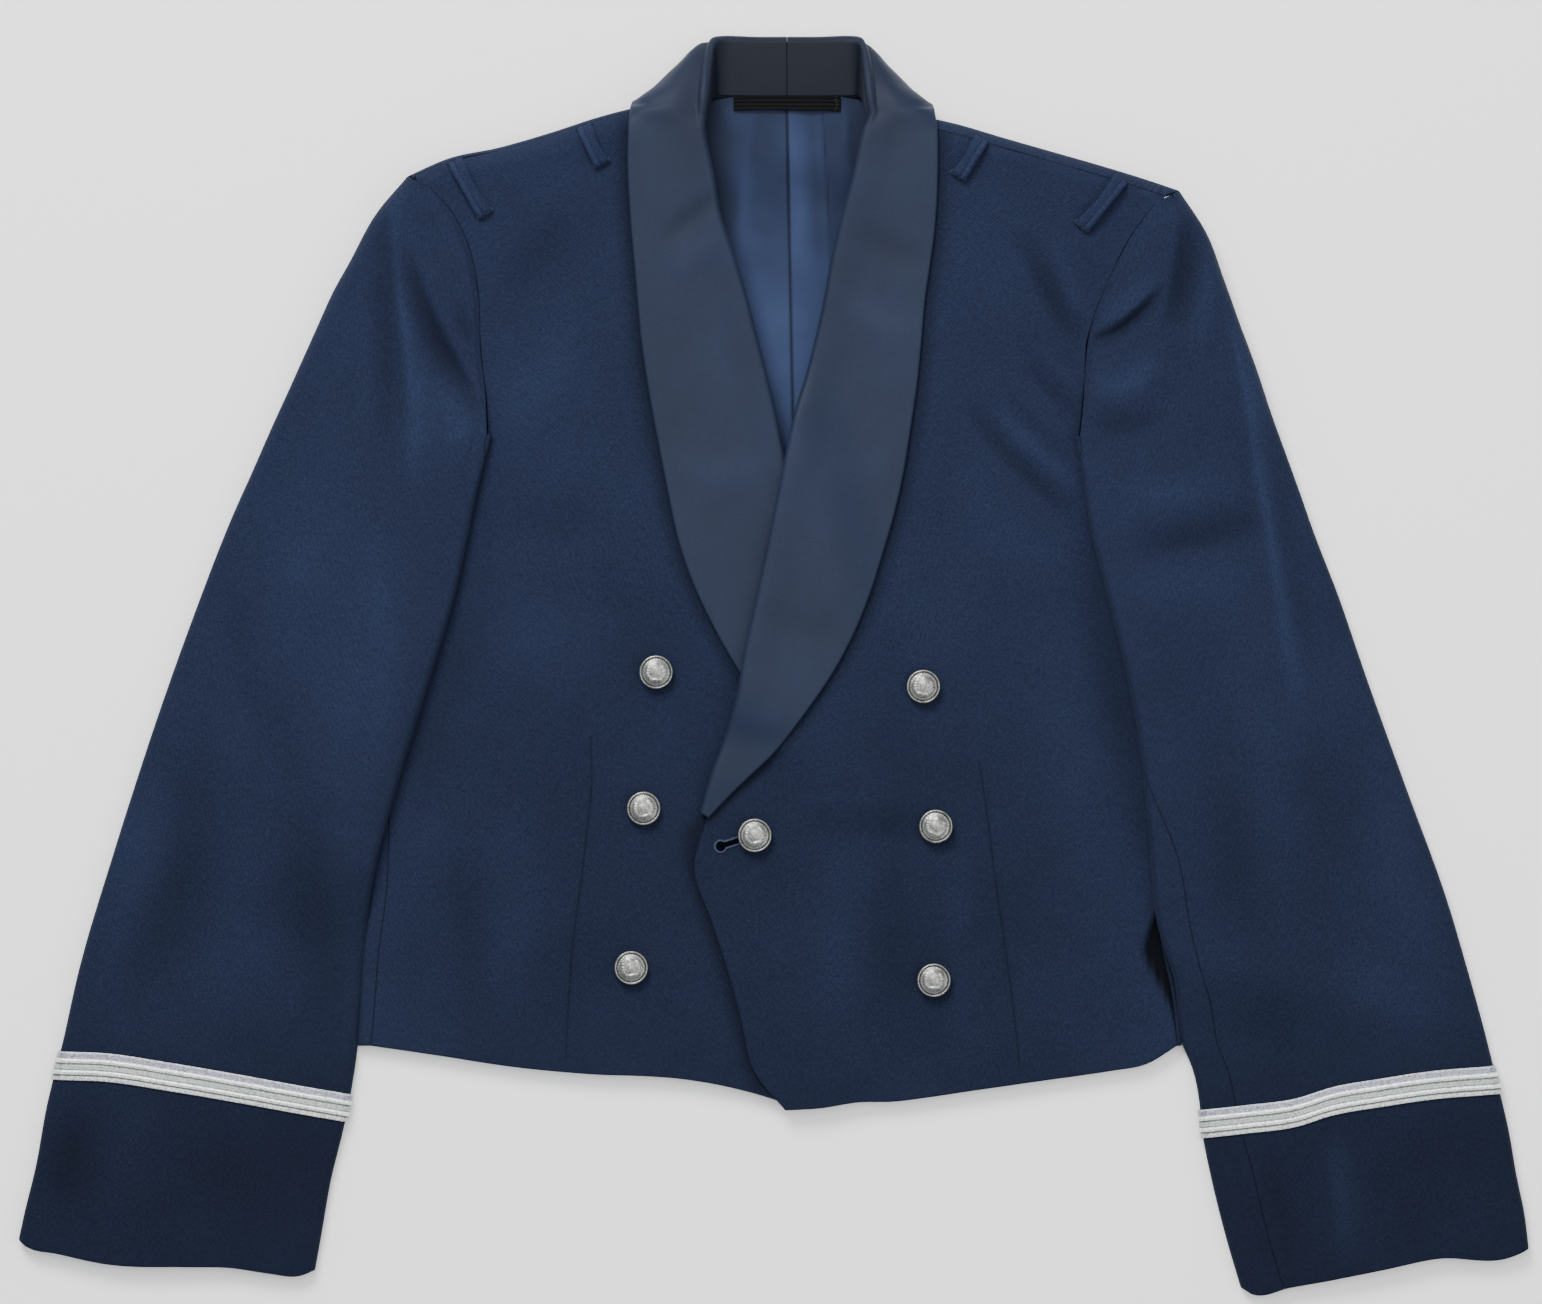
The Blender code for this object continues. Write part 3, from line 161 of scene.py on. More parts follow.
BESIDE_BODY = {"right": (-215, -160), "left": (-262, -212)}  # y over which the inner fold comes off the body
CUFF_CURVE = {  # fraction from the inner to the outer fold, how far the cuff's edge dips below the chord
    "right": ((0, 0), (0.06, 4), (0.15, 4), (0.29, 3), (0.43, 5), (0.70, 8), (0.87, 5), (0.97, 3), (1, 0)),
    "left": ((0, 0), (0.04, 4), (0.17, 3), (0.31, 2), (0.50, 0), (0.68, -2), (0.93, 3), (1, 0)),
}
FOREARM_SEAM = {  # y, how far the forearm seam lies in from the inner fold: + on top, - underneath
    "right": ((-400, -7), (40, -7), (77, 2)),
    "left": ((-400, 24), (-371, 24), (-327, 24), (-294, 20.5), (-268, 20.5), (-245, 19.5), (-222, 17), (-201, 18.5),
             (-156, 15), (-117, 2), (-60, -7), (40, -7), (76, 2)),
}
HINDARM_TUCK = 8.0          # the top sleeve ends this far past the outer fold, underneath
CAP_ROPE = 2.2              # fullness of the sleeve head over the seam
ARM_SWELL = 2.5
BODY_CLEAR = 1.2            # the under sleeve lies this far above the body
SLEEVE_HOLLOW = 2.6         # least height inside the sleeve where it crosses the body
SOFTEN = 2.0
CAP_STATIONS = np.linspace(0, 1, 8)[:-1]
ARM_STATIONS = np.concatenate([[1.0, 1.03, 1.065], np.linspace(1.12, 2.0, 12)])
UNDERARM_COLUMN = 6         # the under sleeve's column that starts at the underarm
LAPEL_REST = 1.1            # the lapel's outer edge lies this far above the front

# The collar from the centre back to the neck side, as points on the outer face of its fold.
COLLAR_BACK = (
    # seam, roll, bulge direction, fall: over, fold, under, outer edge, then fold radius and share of drop
    (0, 266.4, 7.2, 0, 299.5, 4.1, 0, 1, 0, 0, 289, 0, 0, 280, 0, 0, 268, 0, 0, 254, 0, 4.1, 0),
    (-18, 266.4, 7.2, -18, 299.5, 4.1, 0, 1, 0, -18, 289, 0, -18, 280, 0, -18, 268, 0, -18, 254, 0, 4.1, 0),
    (-33, 266.6, 7.3, -35, 300, 5.0, 0, 1, 0.1, -37, 291, 0, -38, 281, 0, -38, 268, 0, -38, 254, 0, 4.1, 0),
    (-38.5, 266.8, 8.6, -42, 297.5, 10, -0.2, 0.8, 0.6, -47.5, 296, 5.5, -51, 291, 1, -52, 276, 0,
     -53, 254, 0, 3.7, 0.5),
    (-41, 265, 9.4, -44.2, 288, 19, -0.15, 0.4, 0.9, -54, 288, 15.5, -61, 284, 6, -65, 270, 0.2,
     -68, 253, 0, 3.4, 1),
    (-43, 261, 10.5, -45.4, 276, 26, 0, 0.15, 1, -60, 276, 23, -73, 272.5, 12, -76, 265, 1.8,
     -78, 254, 0, 3.2, 1),
    (-44.5, 256, 14.5, -45.6, 264, 29.5, 0.3, 0.05, 0.9, -65, 265.5, 28.5, -80, 265, 22, -84.5, 263.8, 14,
     -86, 263, 9, 3.2, 1),
    (-47.5, 250, 19.5, -45.4, 254, 28.5, 0.8, 0, 0.6, -65, 256, 30.3, -77, 257, 29.6, -83, 257.3, 27.6,
     -88, 257.6, 23.8, 3.2, 1),
)
LEFT_COLLAR_WIDTH, LEFT_COLLAR_DROP = 0.94, 1.5

BUTTONS = (  # x, y
    (-73, -56), (-80, -132), (-87, -221), (76, -64), (83, -142), (82, -228), (-18, -147),
)
SHOULDER_LOOPS = {  # x, y at the shoulder end, x, y at the other end
    "right_outer": (-185, 229, -168, 199), "right_inner": (-113, 248, -103, 227),
    "left_inner": (108, 241, 95, 220), "left_outer": (186, 219, 164, 192),
}
LOOP_WIDTH, LOOP_THICK, LOOP_LIFT = 6.2, 1.4, 1.4
LACE_TOP = {  # x, y of the braid's upper edge, inner fold to outer fold
    "right": ((-244, -292), (-278, -286), (-305, -281), (-346, -274), (-380, -269), (-407, -268)),
    "left": ((229, -301), (256, -298), (285, -294), (304, -288), (332, -283), (359, -279), (396, -276)),
}
HANGER_LENGTH, HANGER_WIDTH = 60.0, 8.0


SIDES = {"right": -1, "left": 1}

# Creases and folds: path, width, height (- is a trough) and lean, how much wider its left side is.
SEAM_DIP = (1.0, 0.2)      # reach and depth of a pressed seam's edge
EDGE_ROUND = (1.1, 0.9)     # reach and depth of a free edge's rounding
DARTS = {
    "right": ((-110, -87), (-109, -119), (-112, -147), (-114, -165), (-119, -202), (-122, -239), (-124, -276)),
    "left": ((106, -101), (109, -117), (112, -138), (116, -170), (122, -211), (127, -248), (130, -278)),
}
HOLLOW = (  # y, x of the left front's edge beside the hollow
    (-268, 220.6), (-255.4, 217.9), (-239.7, 213.3), (-226.7, 206.1), (-212.3, 200), (-201.8, 202.2), (-192.7, 206.1),
    (-184, 211))
BODY_CREASES = (
    (DARTS["right"], 1.7, -0.6, 0.0), (DARTS["left"], 1.7, -0.6, 0.0),
    # beside the sleeves, where the front sinks away
    (((-160, 40), (-177, -31), (-190, -70), (-211, -135)), 12, -0.9, 0.2),
    (((168, 30), (176, -35), (190, -95), (202, -170)), 9, -1.6, -0.2),
    # left chest, towards the armhole
    (((126, 190), (140, 168), (150, 148), (166, 126)), 6, -1.9, 0.3),
    (((150, 185), (156, 160), (167, 138)), 6, 1.3, 0.2),
    (((98, 97), (116, 74), (136, 54), (163, 28)), 7, -2.3, 0.3), (((112, 92), (136, 68), (165, 43)), 7, 1.9, -0.2),
    (((134, 118), (148, 100), (165, 84)), 4, -1.5, 0.2), (((140, 126), (152, 112), (166, 100)), 3, 0.8, 0.2),
    (((122, 100), (138, 82), (160, 60)), 3.5, -0.9, -0.2), (((92, 60), (118, 26), (158, -8)), 16, 0.8, 0.0),
    # right chest
    (((-119, 198), (-140, 176), (-160, 156)), 12, -1.2, 0.2), (((-112, 150), (-136, 104), (-160, 52)), 16, 0.9, 0.0),
    (((-100, 48), (-128, 26), (-158, 36)), 13, -1, 0.0), (((-96, -20), (-130, -40), (-170, -48)), 18, 0.6, 0.0),
    # waist and hem
    (((-182, -150), (-178, -215), (-172, -270)), 12, -0.9, 0.2),
    (((-150, -120), (-152, -190), (-160, -255)), 16, 0.7, 0.0),
    (((62, -120), (58, -180), (54, -250)), 12, -0.7, 0.0), (((40, -130), (30, -190), (26, -260)), 14, 0.7, 0.1),
    (((150, -60), (160, -120), (168, -190)), 16, 0.7, 0.1), (((95, -150), (96, -205), (100, -270)), 9, 0.9, 0.0),
)
SLEEVE_CREASES = {
    "right": (
        # from the sleeve head down to the armhole's foot
        (((-217, 190), (-207, 158), (-195, 131), (-182, 107), (-168, 82)), 6, -3.5, -0.45),
        (((-219, 212), (-218, 180), (-213, 135), (-208, 94), (-210, 40)), 5.5, 2.5, 0.4),
        (((-219, 208), (-218.5, 190), (-216, 165), (-211, 130)), 1.8, 0.8, 0.0),
        (((-224, 200), (-225, 150), (-223, 100), (-226, 60)), 8, -1.9, 0.0),
        (((-186, 150), (-178, 132), (-173, 118)), 4, -1.4, 0.0),
        (((-184, 126), (-178, 124), (-173, 122)), 2.6, 1, 0.0),
        (((-196, 112), (-184, 90), (-178, 62)), 11, 1.4, 0.0),
        # long soft folds of the forearm
        (((-262, 60), (-268, 0), (-296, -60)), 20, 0.8, 0.2),
        (((-310, -5), (-296, -70), (-268, -122)), 15, -1.2, 0.3),
        (((-236, -10), (-240, -62), (-262, -130)), 16, 1, 0.0),
        (((-268, -122), (-262, -190), (-254, -262)), 13, -1.4, -0.2),
        (((-330, -95), (-338, -168), (-366, -232)), 14, -1.3, 0.3),
        (((-352, -110), (-372, -190), (-392, -250)), 13, 1, 0.0),
        (((-300, -130), (-306, -200), (-318, -262)), 17, 0.9, 0.0),
        (((-232, 20), (-222, -50), (-240, -150)), 9, 1.1, 0.0),
        # cuff
        (((-360, -292), (-372, -330), (-378, -366)), 13, 1.4, 0.2),
        (((-396, -300), (-402, -335), (-405, -360)), 9, -1.5, 0.0),
        (((-320, -290), (-318, -330), (-322, -372)), 22, -0.5, 0.0),
    ),
    "left": (
        # under the sleeve head
        (((164, 128), (172, 130), (181, 133), (193, 142), (209, 157)), 3.4, -3.3, -0.5),
        (((172, 140), (184, 143), (196, 152), (208, 166)), 6, 1.9, 0.3),
        (((170, 106), (188, 102), (208, 120)), 9, 2.3, 0.2),
        (((168, 84), (186, 82), (212, 88)), 8, -1.4, 0.0),
        (((225, 200), (221, 165), (214, 132)), 8, -2.8, 0.45), (((237, 196), (235, 160), (228, 120)), 8, 1.9, 0.0),
        # the long ridge down the outer arm
        (((246, 156), (250, 133), (257, 98), (264, 55), (271, 16), (278, -31), (284, -80)), 5.5, 3.5, 0.5),
        (((262, 90), (273, 40), (280, 0), (290, -50)), 7, -1.9, 0.0),
        # across the elbow and down the forearm
        (((190, 12), (214, 16), (233, 19), (268, 28)), 9, -2, 0.2), (((188, 40), (214, 42), (250, 50)), 10, 1.2, 0.0),
        (((192, -12), (222, -8), (256, -4)), 11, 1.2, 0.0), (((292, -98), (306, -150), (300, -190)), 18, -0.8, 0.2),
        (((262, -60), (272, -120), (274, -180)), 17, 0.8, 0.0),
        (((236, -70), (246, -140), (262, -230)), 14, -0.8, 0.0),
        (((330, -110), (346, -170), (362, -240)), 15, 1, 0.0),
        (((300, -215), (330, -238), (372, -246)), 15, 0.8, 0.2),
        # cuff
        (((304, -312), (309, -345), (313, -388)), 8, 2.5, 0.3),
        (((268, -318), (274, -350), (280, -392)), 14, -0.8, 0.0),
        (((352, -305), (366, -335), (378, -366)), 20, -0.6, 0.0),
    ),
}
COLLAR_CREASES = (
    (((-70, 184), (-53, 198), (-36, 212)), 5, -1.1, 0.0), (((-64, 164), (-50, 178), (-34, 190)), 7, 0.8, 0.0),
    (((38, 192), (60, 178), (80, 173)), 8, -0.8, 0.0), (((32, 152), (52, 138), (72, 130)), 9, 0.8, 0.0),
    (((18, 66), (38, 60), (60, 58)), 10, 0.6, 0.0), (((-34, -78), (-16, -84), (0, -80)), 8, 0.7, 0.0),
    (((-16, -20), (8, -32), (34, -36)), 9, -0.6, 0.0), (((-62, 60), (-40, 52), (-10, 56)), 11, 0.6, 0.0),
)
BUTTONHOLE = ((-37.0, -153.2), (-24.0, -149.0))  # x, y of the eye and of the other end
EYE_RADIUS, SLOT_HALF_WIDTH = 2.8, 1.4
BACK_CORNERS = (0, 7, 10, 17, 22)
FRONT_OUTSIDE, FRONT_INSIDE = (0, 8, 12, 20, 23), (0, 6, 20, 23)




# ---------------------------------------------------------------- curves and heights
def smooth(start, end, value):
    """0 before start, 1 after end, an S between."""
    t = np.clip((value - start) / (end - start), 0, 1)
    return t * t * (3 - 2 * t)


def look_up(rows, value, column=1):
    """The column's value at this first-column value, on a smooth curve through the rows."""
    table = np.array(rows, float)
    table = table[np.argsort(table[:, 0], kind="stable")]
    x, y = table[:, 0], table[:, column]
    slopes = np.gradient(y, x)
    i = np.clip(np.searchsorted(x, value) - 1, 0, len(x) - 2)
    step = x[i + 1] - x[i]
    t = np.clip((value - x[i]) / step, 0, 1)
    rise = (2 * t ** 3 - 3 * t ** 2 + 1) * y[i] + (3 * t ** 2 - 2 * t ** 3) * y[i + 1]
    return rise + step * ((t ** 3 - 2 * t ** 2 + t) * slopes[i] + (t ** 3 - t ** 2) * slopes[i + 1])


def spline(rows, fractions=None, count=None):
    """Points on a smooth curve through the rows, by share of the rows' own length."""
    points = np.array(rows, float)
    steps = np.linalg.norm(np.diff(points[:, :2], axis=0), axis=1)
    at = np.concatenate([[0], np.cumsum(np.maximum(steps, 1e-6))])
    where = np.linspace(0, 1, count) if fractions is None else np.asarray(fractions, float)
    rows_at = [np.column_stack([at, points[:, k]]) for k in range(points.shape[1])]
    return np.column_stack([look_up(column, where * at[-1]) for column in rows_at])


def joined(*parts):
    """One border from several stretches of points, without the doubled corner points."""
    return np.vstack([parts[0]] + [part[1:] for part in parts[1:]])


def coons(bottom, top, left, right, u, v):
    """Grid of points between four borders: bottom and top run along u, left and right along v."""
    u, v = u[None, :, None], v[:, None, None]
    ruled = (1 - u) * left[:, None] + u * right[:, None] + (1 - v) * bottom[None] + v * top[None]
    corners = (1 - v) * ((1 - u) * bottom[0] + u * bottom[-1]) + v * ((1 - u) * top[0] + u * top[-1])
    return ruled - corners


def body_height(x, y):
    """Top of the fronts where nothing lies under them but the back."""
    side, centre = look_up(BODY_HEIGHT, y, 1), look_up(BODY_HEIGHT, y, 2)
    across = np.abs(x) / look_up(BODY_HALF_WIDTH, y)
    return side + (centre - side) * (1 - smooth(0.45, 1.0, across))


def back_bed(x, y):
    """Height of the back panel's underside: flat on the surface, and raised over the collar's fall."""
    return COLLAR_BED * smooth(BED_START, BED_TOP, y) * (1 - smooth(96, 130, np.abs(x)))


def dome(depth, radius):
    """Share of the full height at this depth inside a round fold."""
    t = np.clip(depth / radius, 0, 1)
    return np.sqrt(1 - (1 - t) ** 2)


def unroll(depth, radius, face):
    """Length along the cloth from the fold's outermost line: + on top, - underneath."""
    near = radius * np.arccos(np.clip(1 - depth / radius, -1, 1))
    return face * np.where(depth < radius, near, radius * math.pi / 2 + depth - radius)


def roll(length, radius):
    """Depth inside the fold and share of the half height, for a length along the cloth."""
    turn = np.clip(length / radius, -math.pi / 2, math.pi / 2)
    over = np.maximum(np.abs(length) - radius * math.pi / 2, 0)
    return radius * (1 - np.cos(turn)) + over, np.sin(turn)


def side_fold_x(side, y):
    return look_up([(py, px) for px, py in SIDE_FOLD[side]], y)


def shoulder_fold_y(x):
    rows = SHOULDER_FOLD["right"] + SHOULDER_FOLD["left"]
    return look_up(rows, x)


def body_side_depth(x, y):
    """Distance in from the nearer side fold."""
    return np.minimum(x - side_fold_x("right", y), side_fold_x("left", y) - x)


def side_radius(side, y):
    return body_height(side_fold_x(side, y), y) / 2


def shoulder_radius(x):
    fold_y = shoulder_fold_y(x)
    return (body_height(x, fold_y) - back_bed(x, fold_y)) / 2


def body_top(x, y):
    """Outer face of the fronts, down to the folds."""
    low, high = back_bed(x, y), body_height(x, y)
    side = np.where(x < 0, side_radius("right", y), side_radius("left", y))
    edge = dome(body_side_depth(x, y), side)
    shoulder = dome((shoulder_fold_y(x) - y) * math.cos(SHOULDER_SLOPE), shoulder_radius(x))
    return (low + high) / 2 + (high - low) / 2 * edge * shoulder


def lapel_rows(side):
    return np.array(LAPEL[side], float)


def lapel_line(side, y, column):
    """x of the roll (column 0) or the outer edge (column 2) at this y."""
    rows = lapel_rows(side)
    return look_up([(row[column + 1], row[column]) for row in rows], y)


def under_front(x, y):
    """How far the left front is lifted by the right front and lapel that lie under it."""
    edge_rows = [(py, px) for px, py in FRONT_EDGE["right"][1:]] + [(r[1], r[0]) for r in LAPEL["right"][::-1]]
    past_edge = x - look_up(edge_rows, y)
    front = 1 - smooth(6, 48, past_edge)
    from_outer = x - lapel_line("right", y, 2)
    lapel = (1 - smooth(6, 52, past_edge)) * smooth(-34, -2, from_outer)
    lapel = lapel * smooth(-152, -128, y) * (1 - smooth(72, 132, y))
    front = front * (1 - smooth(72, 132, y))
    return (FRONT_CLOTH + GAP + 0.4) * front + 5.2 * lapel


def left_top(x, y):
    return body_top(x, y) + under_front(x, y)


FRONT_TOP = {"right": body_top, "left": left_top}
TOP_ROWS = (0, 0.4, 0.75, 1)


def back_shoulder_fold_y(x):
    """The fold that the back wraps round: the shoulder's, moved out of the way inside the neck."""
    return shoulder_fold_y(x) + 30.0 * (1 - smooth(50, 66, np.abs(x)))


def back_surface(px, py):
    """The back's outer face from its flat pattern: over the side folds and the shoulders' folds."""
    side_x = np.where(px < 0, -side_fold_x("right", py), side_fold_x("left", py))
    radius = np.where(px < 0, side_radius("right", py), side_radius("left", py))
    length = np.abs(px) - side_x + radius - radius * math.pi / 2
    depth, side_share = roll(length, radius)
    x = np.sign(px) * (side_x - depth)
    fold_y = back_shoulder_fold_y(x)
    slope = math.cos(SHOULDER_SLOPE)
    top_radius = shoulder_radius(x)
    length = (py - fold_y) * slope + top_radius - top_radius * math.pi / 2
    depth, top_share = roll(length, top_radius)
    y = fold_y - depth / slope
    low, high = back_bed(x, y), body_height(x, y)
    share = np.maximum(side_share, top_share)
    return np.stack([x, y, (low + high) / 2 + (high - low) / 2 * share], axis=-1)


def shoulder_pattern_y(x, depth, face):
    """Pattern y of a place on the back, given its depth inside the shoulder fold and its face."""
    radius = shoulder_radius(x)
    length = unroll(depth, radius, face)
    return back_shoulder_fold_y(x) + (length - radius + radius * math.pi / 2) / math.cos(SHOULDER_SLOPE)


def side_pattern_x(side, y, depth, face):
    radius = side_radius(side, y)
    length = unroll(depth, radius, face)
    return SIDES[side] * (np.abs(side_fold_x(side, y)) + length - radius + radius * math.pi / 2)


def back_armhole(side, stations):
    """Points of the back armhole seam at stations of the sleeve's cap."""
    rows = spline(np.array(CAP[side], float)[:, :5], fractions=stations)
    share = (rows[:, 4] - rows[:, 0]) / (rows[:, 2] - rows[:, 0])
    return np.column_stack([rows[:, 4], rows[:, 1] + share * (rows[:, 3] - rows[:, 1])])


def shoulder_end_x(side, depth):
    """x at which the back ends beside the sleeve's tip, at this depth inside the shoulder's fold."""
    fold, armhole = CAP[side][0][2] - SIDES[side] * TIP_CLEAR, CAP[side][0][4] - SIDES[side] * SEAM
    return fold + (armhole - fold) * min(depth / (float(shoulder_radius(fold)) * 1.05), 1)


def shoulder_columns(side):
    """x of the shoulder seam's points, tip to neck, for the back and the front alike."""
    tip = shoulder_end_x(side, SHOULDER_SEAM_DEPTH[side])
    inset = tip - SIDES[side] * 22.0
    return np.concatenate([np.linspace(tip, inset, 5), np.linspace(inset, SIDES[side] * 68.0, 6)[1:]])


def shoulder_seam(side, x, offset):
    """Pattern y of the back's shoulder border, at the seam line or short of it."""
    return shoulder_pattern_y(x, SHOULDER_SEAM_DEPTH[side] + offset, 1)


def back_side_border(side):
    """Side seam and back armhole, hem to shoulder tip, in the flat pattern."""
    seam_y = np.linspace(-265, 20, 8)
    depth = look_up(SIDE_SEAM_DEPTH[side], seam_y) - SEAM
    seam = np.column_stack([side_pattern_x(side, seam_y, depth, 1), seam_y])
    end_x = side_pattern_x(side, 56.0, side_radius(side, 56.0), -1)
    turn = np.column_stack([np.linspace(seam[-1, 0], end_x, 4), np.linspace(20, 56, 4)])
    armhole = back_armhole(side, CAP_STATIONS[::-1]) - np.array([SIDES[side] * SEAM, 0])
    radius = shoulder_radius(CAP[side][0][2])
    last = unroll(SHOULDER_SEAM_DEPTH[side] - SEAM, radius, 1)
    over = []
    for length in np.linspace(-radius * math.pi / 2, last, 6)[1:]:
        depth, _ = roll(length, radius)
        x = shoulder_end_x(side, depth)
        over.append((x, shoulder_pattern_y(x, depth, np.sign(length))))
    tip_x = shoulder_columns(side)[0]
    over[-1] = (tip_x, float(shoulder_seam(side, tip_x, -SEAM)))
    return joined(seam, turn, np.vstack([turn[-1], armhole]), np.vstack([armhole[-1], over]))


def back_borders():
    """Borders of the back's flat pattern: hem, top, right and left."""
    left, right = back_side_border("left"), back_side_border("right")
    top_x = np.concatenate([
        shoulder_columns("right"), np.linspace(-68, -50, 5)[1:], np.linspace(-50, 50, 4)[1:],
        np.linspace(50, 68, 5)[1:-1], shoulder_columns("left")[::-1]])
    hem_y = ((-232, -265), (-120, -270), (0, -276), (120, -270), (215, -265))
    hem_x = np.concatenate([np.linspace(right[0, 0], -215, 6), np.linspace(-215, 180, len(top_x) - 10)[1:],
                            np.linspace(180, left[0, 0], 6)[1:]])
    hem = np.column_stack([hem_x, look_up(hem_y, np.clip(hem_x, -232, 215))])
    seam_y = np.where(top_x < 0, shoulder_seam("right", top_x, -SEAM), shoulder_seam("left", top_x, -SEAM))
    in_neck = 1 - smooth(50, 67, np.abs(top_x))
    top = np.column_stack([top_x, seam_y * (1 - in_neck) + (NECK_SEAM_Y - SEAM) * in_neck])
    return hem, top, right, left


def front_borders(side):
    sign = SIDES[side]
    y = np.linspace(-265, 60, 9)
    depth = look_up(SIDE_SEAM_DEPTH[side], y) + SEAM
    seam = np.column_stack([side_fold_x(side, y) - sign * depth, y])
    arm = np.array(CAP[side], float)
    low_point = np.array(ARMHOLE[side][0], float)
    outer = arm[-1, 2:4]
    share = (seam[-1, 0] - low_point[0]) / (outer[0] - low_point[0])
    corner = low_point + share * (outer - low_point) - np.array([0, SEAM])
    seam[-1] = corner
    bottom = np.linspace(corner, low_point - np.array([sign * SEAM, SEAM]), 5)
    armhole = spline(np.array(ARMHOLE[side], float) - np.array([sign * SEAM, 0]), count=9)
    columns = shoulder_columns(side)
    cosine = math.cos(SHOULDER_SLOPE)

    def shoulder(x):
        return shoulder_fold_y(x) - (SHOULDER_SEAM_DEPTH[side] + SEAM) / cosine

    tip = np.array([columns[0], float(shoulder(columns[0]))])
    over = armhole[-1] + (tip - armhole[-1]) * np.array(TOP_ROWS)[:, None]
    over[1:-1] += np.array([0.5 * sign, -0.9]) * TIP_TUCK
    outside = joined(seam, bottom, armhole, over)
    top_x = np.concatenate([columns, [sign * 61.0, sign * 54.0]])
    top = np.column_stack([top_x, shoulder(top_x)])
    lapel = lapel_rows(side)
    away = lapel[:, 2:4] - lapel[:, 0:2]
    away /= np.linalg.norm(away, axis=1, keepdims=True)
    fold = (lapel[:, 0:2] + away * EDGE_TO_ROLL)[::-1]
    edge = spline(FRONT_EDGE[side], count=9)
    under_lapel = spline(np.vstack([edge[-1], fold, top[-1]]), fractions=np.linspace(0, 0.93, 15))
    inside = joined(spline(edge, count=len(outside) - 17), under_lapel,
                    under_lapel[-1] + (top[-1] - under_lapel[-1]) * np.array(TOP_ROWS)[:, None])
    hem = spline(np.vstack([seam[0], np.array(HEM[side][1:], float)]), count=len(top))
    hem[-1] = inside[0]
    return hem, top, outside, inside


def above_underarm(side, x, y):
    """Distance above the line from the armhole's lowest front point to the underarm."""
    cap = np.array(CAP[side][-1], float)
    slope = (cap[3] - cap[1]) / (cap[2] - cap[0])
    return y - (cap[1] + slope * (x - cap[0]))


def sleeve_bed(side, x, y):
    """What the sleeve lies on: the body's top while it is over the body, then the surface."""
    over_body = (x - side_fold_x(side, y)) * -SIDES[side]
    on_body = (body_height(x, y) + BODY_CLEAR) * smooth(-17, -2, over_body)
    return on_body * (1 - smooth(1, 11, above_underarm(side, x, y))) * smooth(*BESIDE_BODY[side], y)


def sleeve_frame(side, station):
    """Inner point, outer point, inner depth and outer height; the cap is 0 to 1, the arm 1 to 2."""
    if station < 1:
        row = spline(CAP[side], fractions=[station])[0]
        return row[0:2], row[2:4], 0.0, row[5]
    row = spline(ARM[side], fractions=[station - 1])[0]
    return row[0:2], row[2:4], row[4], row[5]


def across_length(side, station):
    """Length of cloth over the top from the inner fold's outermost line to the outer fold's."""
    inner, outer, depth_in, height_out = sleeve_frame(side, station)
    radii = (depth_in + height_out) / 2
    return np.linalg.norm(outer - inner) - radii + radii * math.pi / 2


def sleeve_section(side, station, lengths, face):
    """Points round the sleeve at a station: lengths along the cloth from the inner fold's outermost line.

    face is 1 over the top, -1 underneath. On the cap the inner end is the armhole seam, not a fold.
    """
    inner, outer, depth_in, height_out = sleeve_frame(side, station)
    chord = np.linalg.norm(outer - inner)
    if station < 1:
        lift = (ARM[side][0][4] + BODY_CLEAR) * float(smooth(0.72, 1.0, station))
        height_in = float(body_height(inner[0], inner[1])) + lift
    else:
        height_in = float(sleeve_bed(side, inner[0], inner[1])) + depth_in
    radius_in, radius_out = max(depth_in / 2, 1e-6), height_out / 2
    whole = across_length(side, station)
    depth_a, share_a = roll(lengths, radius_in)
    depth_b, share_b = roll(whole - lengths, radius_out)
    from_inner = lengths < whole / 2
    share = np.where(from_inner, share_a, share_b)
    across = np.clip(np.where(from_inner, depth_a, chord - depth_b) / chord, 0, 1)
    place = inner + (outer - inner) * across[:, None]
    x = place[:, 0]
    y = place[:, 1] - look_up(CUFF_CURVE[side], across) * smooth(1.8, 2.0, station)
    low = sleeve_bed(side, x, y)
    high = height_in + (height_out - height_in) * smooth(0.0, 1.0, across)
    high = high + ARM_SWELL * np.sin(math.pi * across) * smooth(0, 0.4, station)
    from_seam = across * chord
    rope = CAP_ROPE * smooth(0, 4, from_seam) * (1 - smooth(9, 34, from_seam))
    high = high + rope * (1 - smooth(0.9, 1.02, station)) * smooth(0.0, 0.12, station)
    clear = low + SLEEVE_HOLLOW + 2 * SLEEVE_CLOTH
    soft = np.logaddexp(high / SOFTEN, clear / SOFTEN) * SOFTEN
    high = np.where(across > 0.08, soft, high) if station >= 1 else high
    return np.stack([x, y, (low + high) / 2 + (high - low) / 2 * share * face], axis=-1)


def forearm_seam(side, station):
    """Where the forearm seam lies, as a length over the top from the inner fold."""
    if station < 1:
        return 0.0
    inner, _, depth_in, _ = sleeve_frame(side, station)
    wanted = float(look_up(FOREARM_SEAM[side], inner[1]))
    radius = depth_in / 2
    start = float(unroll(abs(wanted), radius, np.sign(wanted)))
    return start + (radius * math.pi / 2 - start) * float(1 - smooth(1.0, 1.06, station))


def back_armhole_reach(side, station):
    """Distance along the chord from the front armhole seam to the back one."""
    seam = sleeve_frame(side, station)[0]
    return np.linalg.norm(back_armhole(side, [station])[0] - seam) + SEAM


